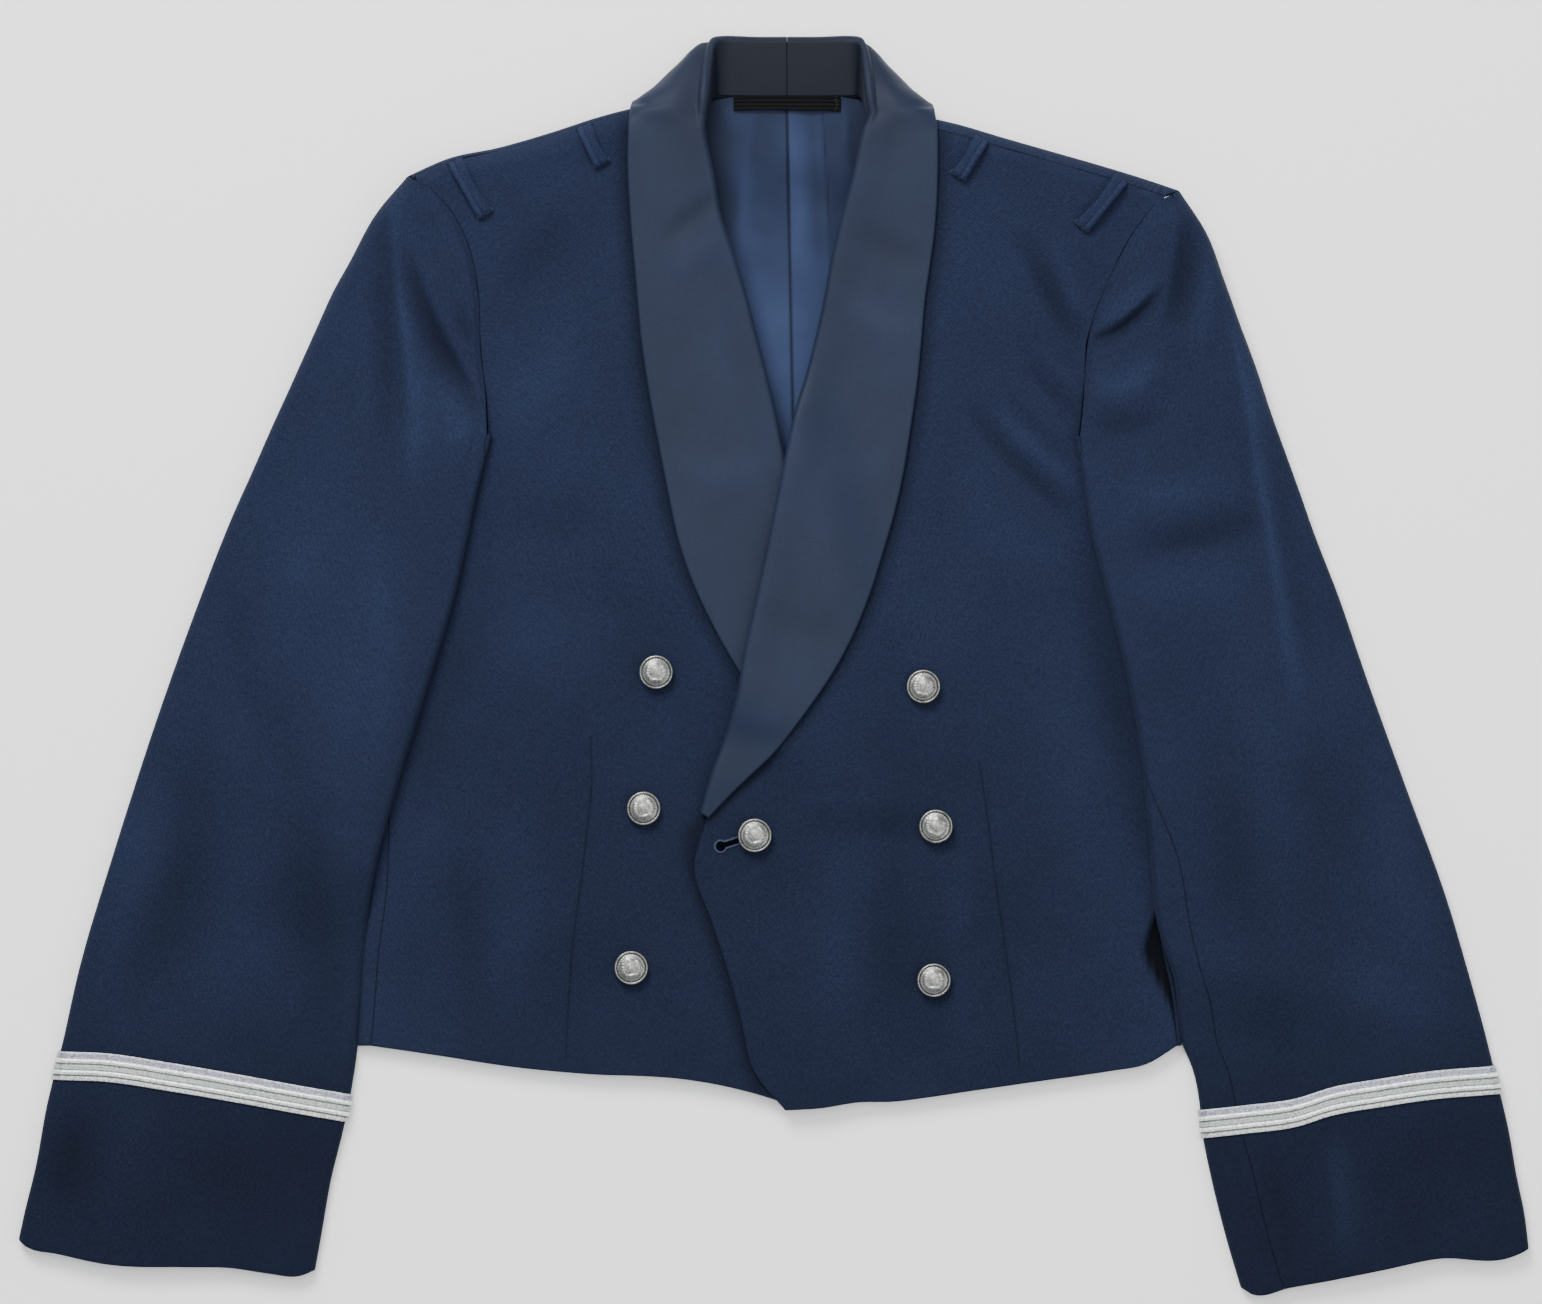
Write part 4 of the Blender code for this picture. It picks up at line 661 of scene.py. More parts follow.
def hindarm_seam(side, station):
    """How far past the outer fold's outermost line the hindarm seam lies, underneath."""
    radius = sleeve_frame(side, station)[3] / 2
    tuck = radius * math.pi / 2 + HINDARM_TUCK
    if station < 1:
        tuck = min(tuck, across_length(side, station) - back_armhole_reach(side, station) - 3.0)
    return tuck


def side_crossing(side, station):
    """Distance along the chord at which the sleeve passes the body's side fold."""
    inner, outer, _, _ = sleeve_frame(side, station)
    share = np.linspace(0, 1, 201)
    line = inner + (outer - inner) * share[:, None]
    outside = (line[:, 0] - side_fold_x(side, line[:, 1])) * SIDES[side] > 0
    return share[np.argmax(outside)] * np.linalg.norm(outer - inner)


def top_columns(side, station):
    """Lengths of the top sleeve's columns: round the inner fold, flat, round the outer fold."""
    _, _, depth_in, height_out = sleeve_frame(side, station)
    start = forearm_seam(side, station) + SEAM
    whole, tuck = across_length(side, station), hindarm_seam(side, station) - SEAM
    flat_end = whole - height_out / 2 * math.pi / 2
    flat_start = max(depth_in / 2 * math.pi / 2, start + 0.15 * (flat_end - start))
    under = min(tuck * 0.75, height_out / 2 * math.pi / 2)
    return np.concatenate([np.linspace(start, flat_start, 4), np.linspace(flat_start, flat_end, 7)[1:],
                           np.linspace(flat_end, whole + under, 6)[1:], [whole + tuck]])


def under_columns(side, station):
    """Lengths of the under sleeve's columns, and none before the back armhole on the cap."""
    whole, tuck = across_length(side, station), hindarm_seam(side, station) + SEAM
    end = whole - tuck
    if station < 1:
        first = back_armhole_reach(side, station)
        return np.concatenate([np.full(UNDERARM_COLUMN, first), np.linspace(first, end, 10)])
    _, _, depth_in, _ = sleeve_frame(side, station)
    radius = depth_in / 2
    start = SEAM - forearm_seam(side, station)
    turn = max(radius * math.pi / 2, start + 2.0)
    over = radius * math.pi / 2 - radius
    drop = max(side_crossing(side, station) + over, turn + 4.0)
    near = np.linspace(turn, drop - 1.5, 4)
    beyond = drop + np.array([2.5, 6.5, 10.5, 14.5, 18.5])
    return np.concatenate([np.linspace(start, turn, 4)[:-1], near, beyond,
                           np.linspace(beyond[-1], end, 5)[1:]])


def roll_points(roll_at, bulge, across, radius, count):
    """Half a circle from the stand's side of the fold to the fall's."""
    centre = roll_at - bulge * radius
    turns = np.radians(np.linspace(-90, 90, count))
    return [centre + bulge * radius * math.cos(t) + across * radius * math.sin(t) for t in turns]


def neck_section(side, row, bends, falls_count):
    """The collar behind and beside the neck: stand, fold, and the fall round to the back."""
    seam, at, bulge, over, fold, under, outer = row[:21].reshape(7, 3)
    falls = np.array([over, fold, under, outer])
    sign = SIDES[side]
    if side == "left":
        falls = falls * (LEFT_COLLAR_WIDTH, 1, 1) - (0, LEFT_COLLAR_DROP * row[22], 0)
    turned = np.array([-sign, 1, 1])
    seam, at, bulge, falls = seam * turned, at * turned, bulge * turned, falls * turned
    bulge = bulge / np.linalg.norm(bulge)
    across = falls[1] - seam
    across -= bulge * (across @ bulge)
    across /= np.linalg.norm(across)
    bend = roll_points(at, bulge, across, row[21], bends)
    points = np.vstack([[seam], bend, spline_3d(np.vstack([[bend[-1]], falls]), falls_count)[1:]])
    points[:, 2] = np.maximum(points[:, 2], 0)
    return points


def spline_3d(points, count):
    """Even points on a smooth curve through a few points in space."""
    steps = np.linalg.norm(np.diff(points, axis=0), axis=1)
    at = np.concatenate([[0], np.cumsum(steps)])
    where = np.linspace(0, at[-1], count)
    return np.column_stack([look_up(np.column_stack([at, points[:, k]]), where) for k in range(3)])


def lapel_section(side, row, bends, falls_count):
    """The lapel: a short leg under the front's edge, the fold, and the lapel lying on the front."""
    at, outer = row[0:2], row[2:4]
    away = (outer - at) / np.linalg.norm(outer - at)
    height = FRONT_TOP[side]
    roll_radius = min(LAPEL_ROLL, 0.42 * float(np.linalg.norm(outer - at)))
    start = at + away * (EDGE_TO_ROLL - 0.8)
    base = float(height(start[0], start[1])) - COLLAR_CLOTH
    across, bulge = np.array([0, 0, 1.0]), np.array([-away[0], -away[1], 0])
    bend = roll_points(np.array([at[0], at[1], base + roll_radius]), bulge, across, roll_radius, bends)
    reach = np.linspace(roll_radius, np.linalg.norm(outer - at), falls_count)[1:]
    place = at + away * reach[:, None]
    lift = 2 * roll_radius - 2 * COLLAR_CLOTH - LAPEL_REST
    rest = COLLAR_CLOTH + LAPEL_REST + lift * (1 - smooth(roll_radius, 22, reach))
    top = np.column_stack([place, height(place[:, 0], place[:, 1]) + rest])
    return np.vstack([[[start[0], start[1], base]], bend, top])



# ---------------------------------------------------------------- fine grids
def positions(cells, detail, lead=(0.1, 0.3, 0.6), ends="both"):
    """Places along a border, in its own cells, at detail to a cell and closer at the ends."""
    where = np.linspace(0, cells, cells * detail + 1)
    near = np.array(lead) / detail
    extra = [near] if ends in ("both", "start") else []
    extra += [cells - near] if ends in ("both", "end") else []
    return np.unique(np.round(np.concatenate([where] + extra), 6))


def on_border(points, corners, where):
    """Points of a border at these places, on a smooth curve between its corners."""
    made = np.empty((len(where), points.shape[1]))
    for first, last in zip(corners[:-1], corners[1:]):
        chosen = (where >= first) & (where <= last)
        at = np.arange(first, last + 1, dtype=float)
        for k in range(points.shape[1]):
            made[chosen, k] = look_up(np.column_stack([at, points[first:last + 1, k]]), where[chosen])
    return made


def patch(bottom, top, left, right, detail_u, detail_v):
    """A fine grid between four borders; each border is (points, corners)."""
    u = positions(len(bottom[0]) - 1, detail_u)
    v = positions(len(left[0]) - 1, detail_v)
    return coons(on_border(*bottom, u), on_border(*top, u), on_border(*left, v), on_border(*right, v),
                 u / u[-1], v / v[-1])


def grid_normals(points):
    """Unit normals of a grid of points, from its own rows and columns."""
    normal = np.cross(np.gradient(points, axis=0), np.gradient(points, axis=1))
    return normal / np.maximum(np.linalg.norm(normal, axis=-1, keepdims=True), 1e-12)


def run_lengths(points, axis):
    """Length along the cloth from the grid's first row or column, and back from the last."""
    steps = np.linalg.norm(np.diff(points, axis=axis), axis=-1)
    pad = [(0, 0), (0, 0)]
    pad[axis] = (1, 0)
    from_start = np.cumsum(np.pad(steps, pad), axis=axis)
    whole = from_start[-1:] if axis == 0 else from_start[:, -1:]
    return from_start, whole - from_start


def edge_distances(points):
    """Distance in from the grid's bottom, top, left and right borders, along the cloth."""
    bottom, top = run_lengths(points, 0)
    left, right = run_lengths(points, 1)
    return {"bottom": bottom, "top": top, "left": left, "right": right}


def round_over(distance, reach, depth):
    """How far an edge's face drops at this distance in from the edge."""
    t = np.clip(1 - distance / reach, 0, 1)
    return depth * (1 - np.sqrt(1 - t * t))


# ---------------------------------------------------------------- creases
def line_distance(x, y, path):
    """Signed distance from a path and share of its length, for arrays of places."""
    line = spline(path, count=max(2 * len(path), 6)) if len(path) > 2 else np.array(path, float)
    best = np.full(np.shape(x), 1e9)
    side, share = np.zeros(np.shape(x)), np.zeros(np.shape(x))
    lengths = np.linalg.norm(np.diff(line, axis=0), axis=1)
    start = np.concatenate([[0], np.cumsum(lengths)])
    for k, length in enumerate(lengths):
        along = (line[k + 1] - line[k]) / length
        dx, dy = x - line[k, 0], y - line[k, 1]
        t = np.clip(dx * along[0] + dy * along[1], 0, length)
        away = np.hypot(dx - t * along[0], dy - t * along[1])
        nearer = away < best
        best = np.where(nearer, away, best)
        side = np.where(nearer, np.sign(along[0] * dy - along[1] * dx), side)
        share = np.where(nearer, (start[k] + t) / start[-1], share)
    return best * np.where(side == 0, 1, side), share


def crease_height(x, y, creases):
    """Sum of soft ridges and troughs, each (path, width, height, lean)."""
    total = np.zeros(np.shape(x))
    for path, width, height, lean in creases:
        points = np.array(path, float)
        low, high = points.min(axis=0) - 3 * width, points.max(axis=0) + 3 * width
        near = (x > low[0]) & (x < high[0]) & (y > low[1]) & (y < high[1])
        if not near.any():
            continue
        distance, share = line_distance(x[near], y[near], path)
        spread = width * (1 + lean * np.sign(distance) * np.clip(np.abs(distance) / width, 0, 1))
        taper = np.clip(np.sin(math.pi * np.clip(share, 0.02, 0.98)), 0, 1) ** 0.7
        total[near] += height * taper * np.exp(-(distance / spread) ** 2)
    return total


def ripple(x, y):
    """Slight unevenness of pressed cloth."""
    wave = np.sin(x / 23 + 1.7 * np.sin(y / 61)) * np.sin(y / 37 + 1.3 * np.sin(x / 53))
    small = np.sin(x / 9.5 + 2.1 * np.sin(y / 17)) * np.sin(y / 12.7 + 1.1 * np.sin(x / 15))
    return 0.30 * wave + 0.07 * small


def relief(x, y, creases):
    scale = bpy.context.scene.jacket_cloth.crease_scale
    return scale * (ripple(x, y) + crease_height(x, y, creases))


# ---------------------------------------------------------------- closed cloth pieces
def face_ring(keep):
    """Corner indices of the kept cells of a grid."""
    rows, columns = keep.shape[0] + 1, keep.shape[1] + 1
    index = np.arange(rows * columns).reshape(rows, columns)
    rings = np.stack([index[:-1, :-1], index[:-1, 1:], index[1:, 1:], index[1:, :-1]], axis=-1)
    return rings[keep]


def mesh_from_quads(name, points, quads, shares=None):
    """A mesh of quads, in metres from millimetres, facing outwards, with its UV map in metres."""
    used, quads = np.unique(quads, return_inverse=True)
    quads = quads.reshape(-1, 4)
    points = points[used]
    centre = points.mean(axis=0)
    a, b, c, d = (points[quads[:, k]] - centre for k in range(4))
    volume = (np.einsum("ij,ij->i", a, np.cross(b, c)) + np.einsum("ij,ij->i", a, np.cross(c, d))).sum()
    if volume < 0:
        quads = quads[:, ::-1]
    mesh = bpy.data.meshes.new(name)
    mesh.vertices.add(len(points))
    mesh.vertices.foreach_set("co", (points * MM).astype(np.float32).ravel())
    mesh.loops.add(quads.size)
    mesh.loops.foreach_set("vertex_index", quads.astype(np.int32).ravel())
    mesh.polygons.add(len(quads))
    mesh.polygons.foreach_set("loop_start", np.arange(0, quads.size, 4, dtype=np.int32))
    mesh.update(calc_edges=True)
    mesh.validate()
    if shares is not None:
        layer = mesh.uv_layers.new(name="UVMap")
        layer.data.foreach_set("uv", (shares[used][quads.ravel()] * MM).astype(np.float32).ravel())
    return mesh, used


def closed_quads(keep, count):
    """Quads of an outer and an inner grid, and of the rim between them."""
    outer = face_ring(keep)
    inner = outer[:, ::-1] + count
    starts, ends = outer.ravel(), np.roll(outer, -1, axis=1).ravel()
    single = ~np.isin(starts * count + ends, ends * count + starts)
    starts, ends = starts[single], ends[single]
    rim = np.column_stack([ends, starts, starts + count, ends + count])
    return np.vstack([outer, inner, rim])


def cloth_piece(name, outer, thickness, finish, keep=None, marks=None, outward=1):
    """A closed cloth wall under a grid of outer points; marks are values kept at its points."""
    rows, columns = outer.shape[:2]
    count = rows * columns
    if keep is None:
        keep = np.ones((rows - 1, columns - 1), bool)
    inner = outer - grid_normals(outer) * outward * thickness
    points = np.vstack([outer.reshape(-1, 3), inner.reshape(-1, 3)])
    across, _ = run_lengths(outer, 1)
    along, _ = run_lengths(outer, 0)
    shares = np.stack([across - across[:, columns // 2:columns // 2 + 1], along], axis=-1).reshape(-1, 2)
    mesh, used = mesh_from_quads(name, points, closed_quads(keep, count), np.vstack([shares, shares]))
    for mark, values in (marks or {}).items():
        layer = mesh.attributes.new(mark, "FLOAT", "POINT")
        both = np.concatenate([values.ravel(), values.ravel()])[used]
        layer.data.foreach_set("value", both.astype(np.float32))
    return place(name, mesh, finish)


def add_object(name, data):
    made = bpy.data.objects.new(name, data)
    bpy.context.scene.collection.objects.link(made)
    return made


def place(name, mesh, finish):
    """Adds the mesh to the scene as a smooth piece that rides on the root."""
    mesh.materials.clear()
    mesh.materials.append(finish)
    mesh.shade_smooth()
    mesh.set_sharp_from_angle(angle=math.radians(55))
    made = add_object(name, mesh)
    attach(made, "root")
    return made


def drop_edges(outer, outward, drops):
    """The grid with its borders pressed down: drops maps a border to (reach, depth) or an array of depths."""
    normals = grid_normals(outer) * outward
    distances = edge_distances(outer)
    fall = np.zeros(outer.shape[:2])
    for border, (reach, depth) in drops.items():
        fall = np.maximum(fall, round_over(distances[border], reach, depth))
    return outer - normals * fall[..., None]


def edge_mark(outer, borders):
    """Distance in mm from the nearest of these borders, capped."""
    distances = edge_distances(outer)
    return np.minimum(np.min([distances[b] for b in borders], axis=0), 30.0)


def raised(outer, outward, creases, calm=()):
    """The grid with the creases and the unevenness on the parts that face up, and their height."""
    normals = grid_normals(outer) * outward
    up = smooth(0.15, 0.8, normals[..., 2])
    amount = relief(outer[..., 0], outer[..., 1], creases) * up
    if calm:
        amount = amount * (0.3 + 0.7 * smooth(0, 8, edge_mark(outer, calm)))
    return outer + normals * amount[..., None], amount


# ---------------------------------------------------------------- shader groups and materials
def node_of(tree, kind, **settings):
    made = tree.nodes.new(kind)
    for key, value in settings.items():
        setattr(made, key, value)
    return made


def group_tree(name, inputs, outputs):
    """An empty shader group with these named sockets, each (name, socket type, default)."""
    tree = bpy.data.node_groups.new(name, "ShaderNodeTree")
    for label, kind, default in inputs:
        socket = tree.interface.new_socket(label, in_out="INPUT", socket_type=kind)
        if default is not None:
            socket.default_value = default
    for label, kind in outputs:
        tree.interface.new_socket(label, in_out="OUTPUT", socket_type=kind)
    return tree, node_of(tree, "NodeGroupInput"), node_of(tree, "NodeGroupOutput")


def feed(tree, socket, value):
    """Links an output to the socket, or sets the socket to a plain value."""
    if hasattr(value, "links"):
        tree.links.new(value, socket)
    else:
        socket.default_value = value


def math_node(tree, operation, a, b=None, c=None, clamp=False):
    made = node_of(tree, "ShaderNodeMath", operation=operation, use_clamp=clamp)
    for socket, value in zip(made.inputs, (a, b, c)):
        if value is not None:
            feed(tree, socket, value)
    return made.outputs[0]


FLOAT, VECTOR, COLOUR = "NodeSocketFloat", "NodeSocketVector", "NodeSocketColor"


def twill_group():
    """Fine diagonal twill with fibre speckle: a height and a shade round 0.5."""
    tree, take, give = group_tree(
        "Twill weave", [("Vector", VECTOR, None), ("Pitch", FLOAT, 0.0011), ("Angle", FLOAT, 0.9),
                        ("Fibre", FLOAT, 0.5)],
        [("Height", FLOAT), ("Shade", FLOAT)])
    link = tree.links.new
    turn = node_of(tree, "ShaderNodeVectorRotate", rotation_type="Z_AXIS")
    link(take.outputs["Vector"], turn.inputs["Vector"])
    link(take.outputs["Angle"], turn.inputs["Angle"])
    split = node_of(tree, "ShaderNodeSeparateXYZ")
    link(turn.outputs[0], split.inputs[0])
    turns = math_node(tree, "DIVIDE", 2 * math.pi, take.outputs["Pitch"])
    wave = math_node(tree, "SINE", math_node(tree, "MULTIPLY", split.outputs["X"], turns))
    rib = math_node(tree, "SINE", math_node(tree, "MULTIPLY", split.outputs["Y"],
                                            math_node(tree, "MULTIPLY", turns, 0.55)))
    noise = node_of(tree, "ShaderNodeTexNoise", noise_dimensions="3D")
    noise.inputs["Detail"].default_value = 2.0
    link(take.outputs["Vector"], noise.inputs["Vector"])
    link(math_node(tree, "DIVIDE", 0.7, take.outputs["Pitch"]), noise.inputs["Scale"])
    weave = math_node(tree, "MULTIPLY_ADD", math_node(tree, "MULTIPLY", wave, 0.7), 0.5,
                      math_node(tree, "MULTIPLY_ADD", rib, 0.12, 0.5))
    fibre = noise.outputs["Fac"]
    mixed = node_of(tree, "ShaderNodeMix", data_type="FLOAT")
    link(take.outputs["Fibre"], mixed.inputs[0])
    link(weave, mixed.inputs[2])
    link(fibre, mixed.inputs[3])
    link(mixed.outputs[0], give.inputs["Height"])
    link(mixed.outputs[0], give.inputs["Shade"])
    return tree


def blotch_group():
    """Soft uneven shade over the cloth, as a factor round 1."""
    tree, take, give = group_tree(
        "Cloth blotches", [("Vector", VECTOR, None), ("Size", FLOAT, 0.05), ("Amount", FLOAT, 0.2)],
        [("Factor", FLOAT)])
    noise = node_of(tree, "ShaderNodeTexNoise", noise_dimensions="3D")
    noise.inputs["Detail"].default_value = 3.0
    noise.inputs["Roughness"].default_value = 0.6
    tree.links.new(take.outputs["Vector"], noise.inputs["Vector"])
    tree.links.new(math_node(tree, "DIVIDE", 1.0, take.outputs["Size"]), noise.inputs["Scale"])
    centred = math_node(tree, "SUBTRACT", noise.outputs["Fac"], 0.5)
    tree.links.new(math_node(tree, "MULTIPLY_ADD", centred, take.outputs["Amount"], 1.0), give.inputs["Factor"])
    return tree


def line_group():
    """1 on a line and 0 away from it, from a distance kept on the mesh in mm."""
    tree, take, give = group_tree(
        "Line mask", [("Distance", FLOAT, 30.0), ("Width", FLOAT, 1.0)], [("Mask", FLOAT)])
    ratio = math_node(tree, "DIVIDE", math_node(tree, "ABSOLUTE", take.outputs["Distance"]), take.outputs["Width"])
    tree.links.new(math_node(tree, "SUBTRACT", 1.0, math_node(tree, "SMOOTH_MIN", ratio, 1.0, 0.3), clamp=True),
                   give.inputs["Mask"])
    return tree


GROUPS = {"Twill weave": twill_group, "Cloth blotches": blotch_group, "Line mask": line_group}


def use_group(tree, name, **values):
    made = node_of(tree, "ShaderNodeGroup")
    made.node_tree = bpy.data.node_groups.get(name) or GROUPS[name]()
    for key, value in values.items():
        feed(tree, made.inputs[key], value)
    return made


def blotches(tree, where, size, amount):
    return use_group(tree, "Cloth blotches", Vector=where, Size=size, Amount=amount).outputs[0]


def line_mask(tree, name, width):
    return use_group(tree, "Line mask", Distance=attribute(tree, name), Width=width).outputs[0]


def new_finish(name, roughness, metallic=0.0, sheen=0.0, sheen_roughness=0.4, sheen_tint=(1, 1, 1), specular=0.5):
    made = bpy.data.materials.new(name)
    made.use_nodes = True
    shader = made.node_tree.nodes["Principled BSDF"]
    shader.inputs["Roughness"].default_value = roughness
    shader.inputs["Metallic"].default_value = metallic
    shader.inputs["Sheen Weight"].default_value = sheen
    shader.inputs["Sheen Roughness"].default_value = sheen_roughness
    shader.inputs["Sheen Tint"].default_value = (*sheen_tint, 1)
    shader.inputs["Specular IOR Level"].default_value = specular
    return made, made.node_tree, shader


def shaded(tree, colour, factor):
    """The colour times a factor, as a colour output."""
    scale = node_of(tree, "ShaderNodeVectorMath", operation="SCALE")
    feed(tree, scale.inputs[0], colour)
    tree.links.new(factor, scale.inputs["Scale"])
    return scale.outputs[0]


def coloured(tree, shader, colour, factor):
    """Gives the shader the colour times the factor."""
    tree.links.new(shaded(tree, colour, factor), shader.inputs["Base Color"])


def mixed(tree, factor, a, b):
    """Colour a to colour b by the factor."""
    made = node_of(tree, "ShaderNodeMix", data_type="RGBA")
    tree.links.new(factor, made.inputs[0])
    for socket, value in ((made.inputs[6], a), (made.inputs[7], b)):
        feed(tree, socket, value if hasattr(value, "links") else (*value, 1))
    return made.outputs[2]


def bumped(tree, shader, height, strength, distance):
    bump = node_of(tree, "ShaderNodeBump")
    bump.inputs["Strength"].default_value = strength
    bump.inputs["Distance"].default_value = distance
    tree.links.new(height, bump.inputs["Height"])
    tree.links.new(bump.outputs[0], shader.inputs["Normal"])


def attribute(tree, name):
    return node_of(tree, "ShaderNodeAttribute", attribute_name=name).outputs["Fac"]


def painted_fold_shade(tree, factor, share):
    """The factor, more on ridges and less in troughs by this share a mm (painted highlight and painted shade on the
    creases), and less where the cloth is dim (painted shade).
    """
    fold = math_node(tree, "MULTIPLY_ADD", attribute(tree, "fold"), share, 1.0)
    fold = math_node(tree, "MINIMUM", math_node(tree, "MAXIMUM", fold, 0.4), 1.5)
    bright = math_node(tree, "SUBTRACT", 1.0, attribute(tree, "dim"))
    return math_node(tree, "MULTIPLY", factor, math_node(tree, "MULTIPLY", fold, bright))


def uv_and_place(tree):
    made = node_of(tree, "ShaderNodeTexCoord")
    return made.outputs["UV"], made.outputs["Object"]


def once(name):
    """The finish of this name if it was made before."""
    return bpy.data.materials.get(name)


def wool_finish():
    """Navy wool: fine twill, soft blotches, dark seam and dart lines, painted highlight on its ridges and painted shade
    in its troughs and where it is dim.
    """
    if once("jacket wool"):
        return once("jacket wool")
    cloth = bpy.context.scene.jacket_cloth
    made, tree, shader = new_finish("jacket wool", 0.85, sheen=0.03, sheen_roughness=0.5,
                                    sheen_tint=(0.55, 0.66, 0.9), specular=0.08)
    uv, where = uv_and_place(tree)
    twill = use_group(tree, "Twill weave", Vector=uv, Pitch=0.0012, Angle=0.95, Fibre=0.6)
    fine = blotches(tree, where, 0.0018, 0.9)
    wide = blotches(tree, where, 0.06, 0.42)
    seam = line_mask(tree, "seam", 0.7)
    dart = line_mask(tree, "dart", 0.9)
    grain = math_node(tree, "MULTIPLY_ADD", twill.outputs["Shade"], 1.2, 0.4)
    soft = math_node(tree, "MULTIPLY", fine, wide)
    line = math_node(tree, "MAXIMUM", seam, dart)
    dark = math_node(tree, "MULTIPLY_ADD", line, -0.42, 1.0)
    factor = math_node(tree, "MULTIPLY", math_node(tree, "MULTIPLY", grain, soft), dark)
    coloured(tree, shader, tuple(cloth.wool), painted_fold_shade(tree, factor, 0.16))
    height = math_node(tree, "ADD", twill.outputs["Height"], math_node(tree, "MULTIPLY", fine, 1.6))
    bumped(tree, shader, height, 0.35, 0.0004)
    return made


def satin_finish():
    """Collar satin: a smoother, greyer blue with fine cross ribs, soft blotches and dark seam lines, painted highlight
    on its ridges and painted shade in its troughs and where it is dim.
    """
    if once("collar satin"):
        return once("collar satin")
    cloth = bpy.context.scene.jacket_cloth
    made, tree, shader = new_finish("collar satin", 0.55, sheen=0.03, sheen_roughness=0.4,
                                    sheen_tint=(0.7, 0.78, 0.95), specular=0.12)
    uv, where = uv_and_place(tree)
    rib = use_group(tree, "Twill weave", Vector=uv, Pitch=0.0009, Angle=1.57, Fibre=0.55)
    wide = blotches(tree, where, 0.045, 0.30)
    fine = blotches(tree, where, 0.004, 0.14)
    seam = line_mask(tree, "seam", 0.6)
    grain = math_node(tree, "MULTIPLY_ADD", rib.outputs["Shade"], 0.3, 0.85)
    dark = math_node(tree, "MULTIPLY_ADD", seam, -0.35, 1.0)
    factor = math_node(tree, "MULTIPLY", math_node(tree, "MULTIPLY", grain, wide),
                       math_node(tree, "MULTIPLY", fine, dark))
    coloured(tree, shader, tuple(cloth.satin), painted_fold_shade(tree, factor, 0.2))
    bumped(tree, shader, rib.outputs["Height"], 0.25, 0.0003)
    return made


def lining_finish():
    """Mid-blue lining satin with crossing threads; painted highlight on its folds, painted shade along its pleat lines
    and where it is dim.
    """
    if once("back lining satin"):
        return once("back lining satin")
    cloth = bpy.context.scene.jacket_cloth
    made, tree, shader = new_finish("back lining satin", 0.5, specular=0.07)
    uv, where = uv_and_place(tree)
    thread = use_group(tree, "Twill weave", Vector=uv, Pitch=0.0008, Angle=0.6, Fibre=0.45)
    wide = blotches(tree, where, 0.030, 0.6)
    # the pleat mark darkens the centre pleat and the second fold: painted shade in the folds
    pleat = line_mask(tree, "pleat", 1.6)
    grain = math_node(tree, "MULTIPLY_ADD", thread.outputs["Shade"], 0.35, 0.82)
    dark = math_node(tree, "MULTIPLY_ADD", pleat, -0.8, 1.0)
    factor = math_node(tree, "MULTIPLY", math_node(tree, "MULTIPLY", grain, wide), dark)
    coloured(tree, shader, tuple(cloth.lining), painted_fold_shade(tree, factor, 0.55))
    bumped(tree, shader, thread.outputs["Height"], 0.2, 0.0002)
    return made


def braid_finish():
    """Silvery braid: bright raised lines over a speckled grey-green ground, dull in its gaps."""
    if once("cuff braid metal"):
        return once("cuff braid metal")
    trims = bpy.context.scene.jacket_trims
    made, tree, shader = new_finish("cuff braid metal", 0.42, metallic=0.35, specular=0.6)
    _, where = uv_and_place(tree)
    band = attribute(tree, "band")
    speckle = node_of(tree, "ShaderNodeTexNoise", noise_dimensions="3D")
    speckle.inputs["Scale"].default_value = 900.0
    speckle.inputs["Detail"].default_value = 1.0
    tree.links.new(where, speckle.inputs["Vector"])
    tone = node_of(tree, "ShaderNodeValToRGB")
    tone.color_ramp.interpolation = "LINEAR"
    bright, grey, line = (0.80, 0.84, 0.82), (0.27, 0.31, 0.29), (0.05, 0.06, 0.057)
    marks = ((0.0, (0.30, 0.31, 0.33)), (0.04, (0.42, 0.43, 0.45)), (0.08, (0.22, 0.23, 0.285)),
             (0.23, (0.23, 0.24, 0.295)),
             (0.27, bright), (0.37, bright), (0.40, line), (0.43, line), (0.47, grey), (0.60, grey), (0.63, line),
             (0.66, bright), (0.77, bright), (0.80, line), (0.84, line), (0.87, (0.42, 0.44, 0.43)),
             (0.97, (0.40, 0.42, 0.41)), (1.0, (0.22, 0.23, 0.24)))
    ramp = tone.color_ramp
    while len(ramp.elements) > 1:
        ramp.elements.remove(ramp.elements[0])
    ramp.elements[0].position = marks[0][0]
    ramp.elements[0].color = (*marks[0][1], 1)
    for position, colour in marks[1:]:
        ramp.elements.new(position).color = (*colour, 1)
    tree.links.new(band, tone.inputs[0])
    spots = math_node(tree, "MULTIPLY_ADD", math_node(tree, "SUBTRACT", speckle.outputs["Fac"], 0.5), 2.4, 1.0)
    coloured(tree, shader, tone.outputs["Color"], math_node(tree, "MULTIPLY", spots, trims.braid_brightness))
    bumped(tree, shader, speckle.outputs["Fac"], 0.5, 0.0004)
    return made


def pick_finish():
    """Bright metal thread of the braid's raised lines."""
    if once("braid thread"):
        return once("braid thread")
    made, tree, shader = new_finish("braid thread", 0.3, metallic=0.5, specular=0.6)
    _, where = uv_and_place(tree)
    wide = blotches(tree, where, 0.002, 0.9)
    coloured(tree, shader, (0.74, 0.76, 0.74), wide)
    return made


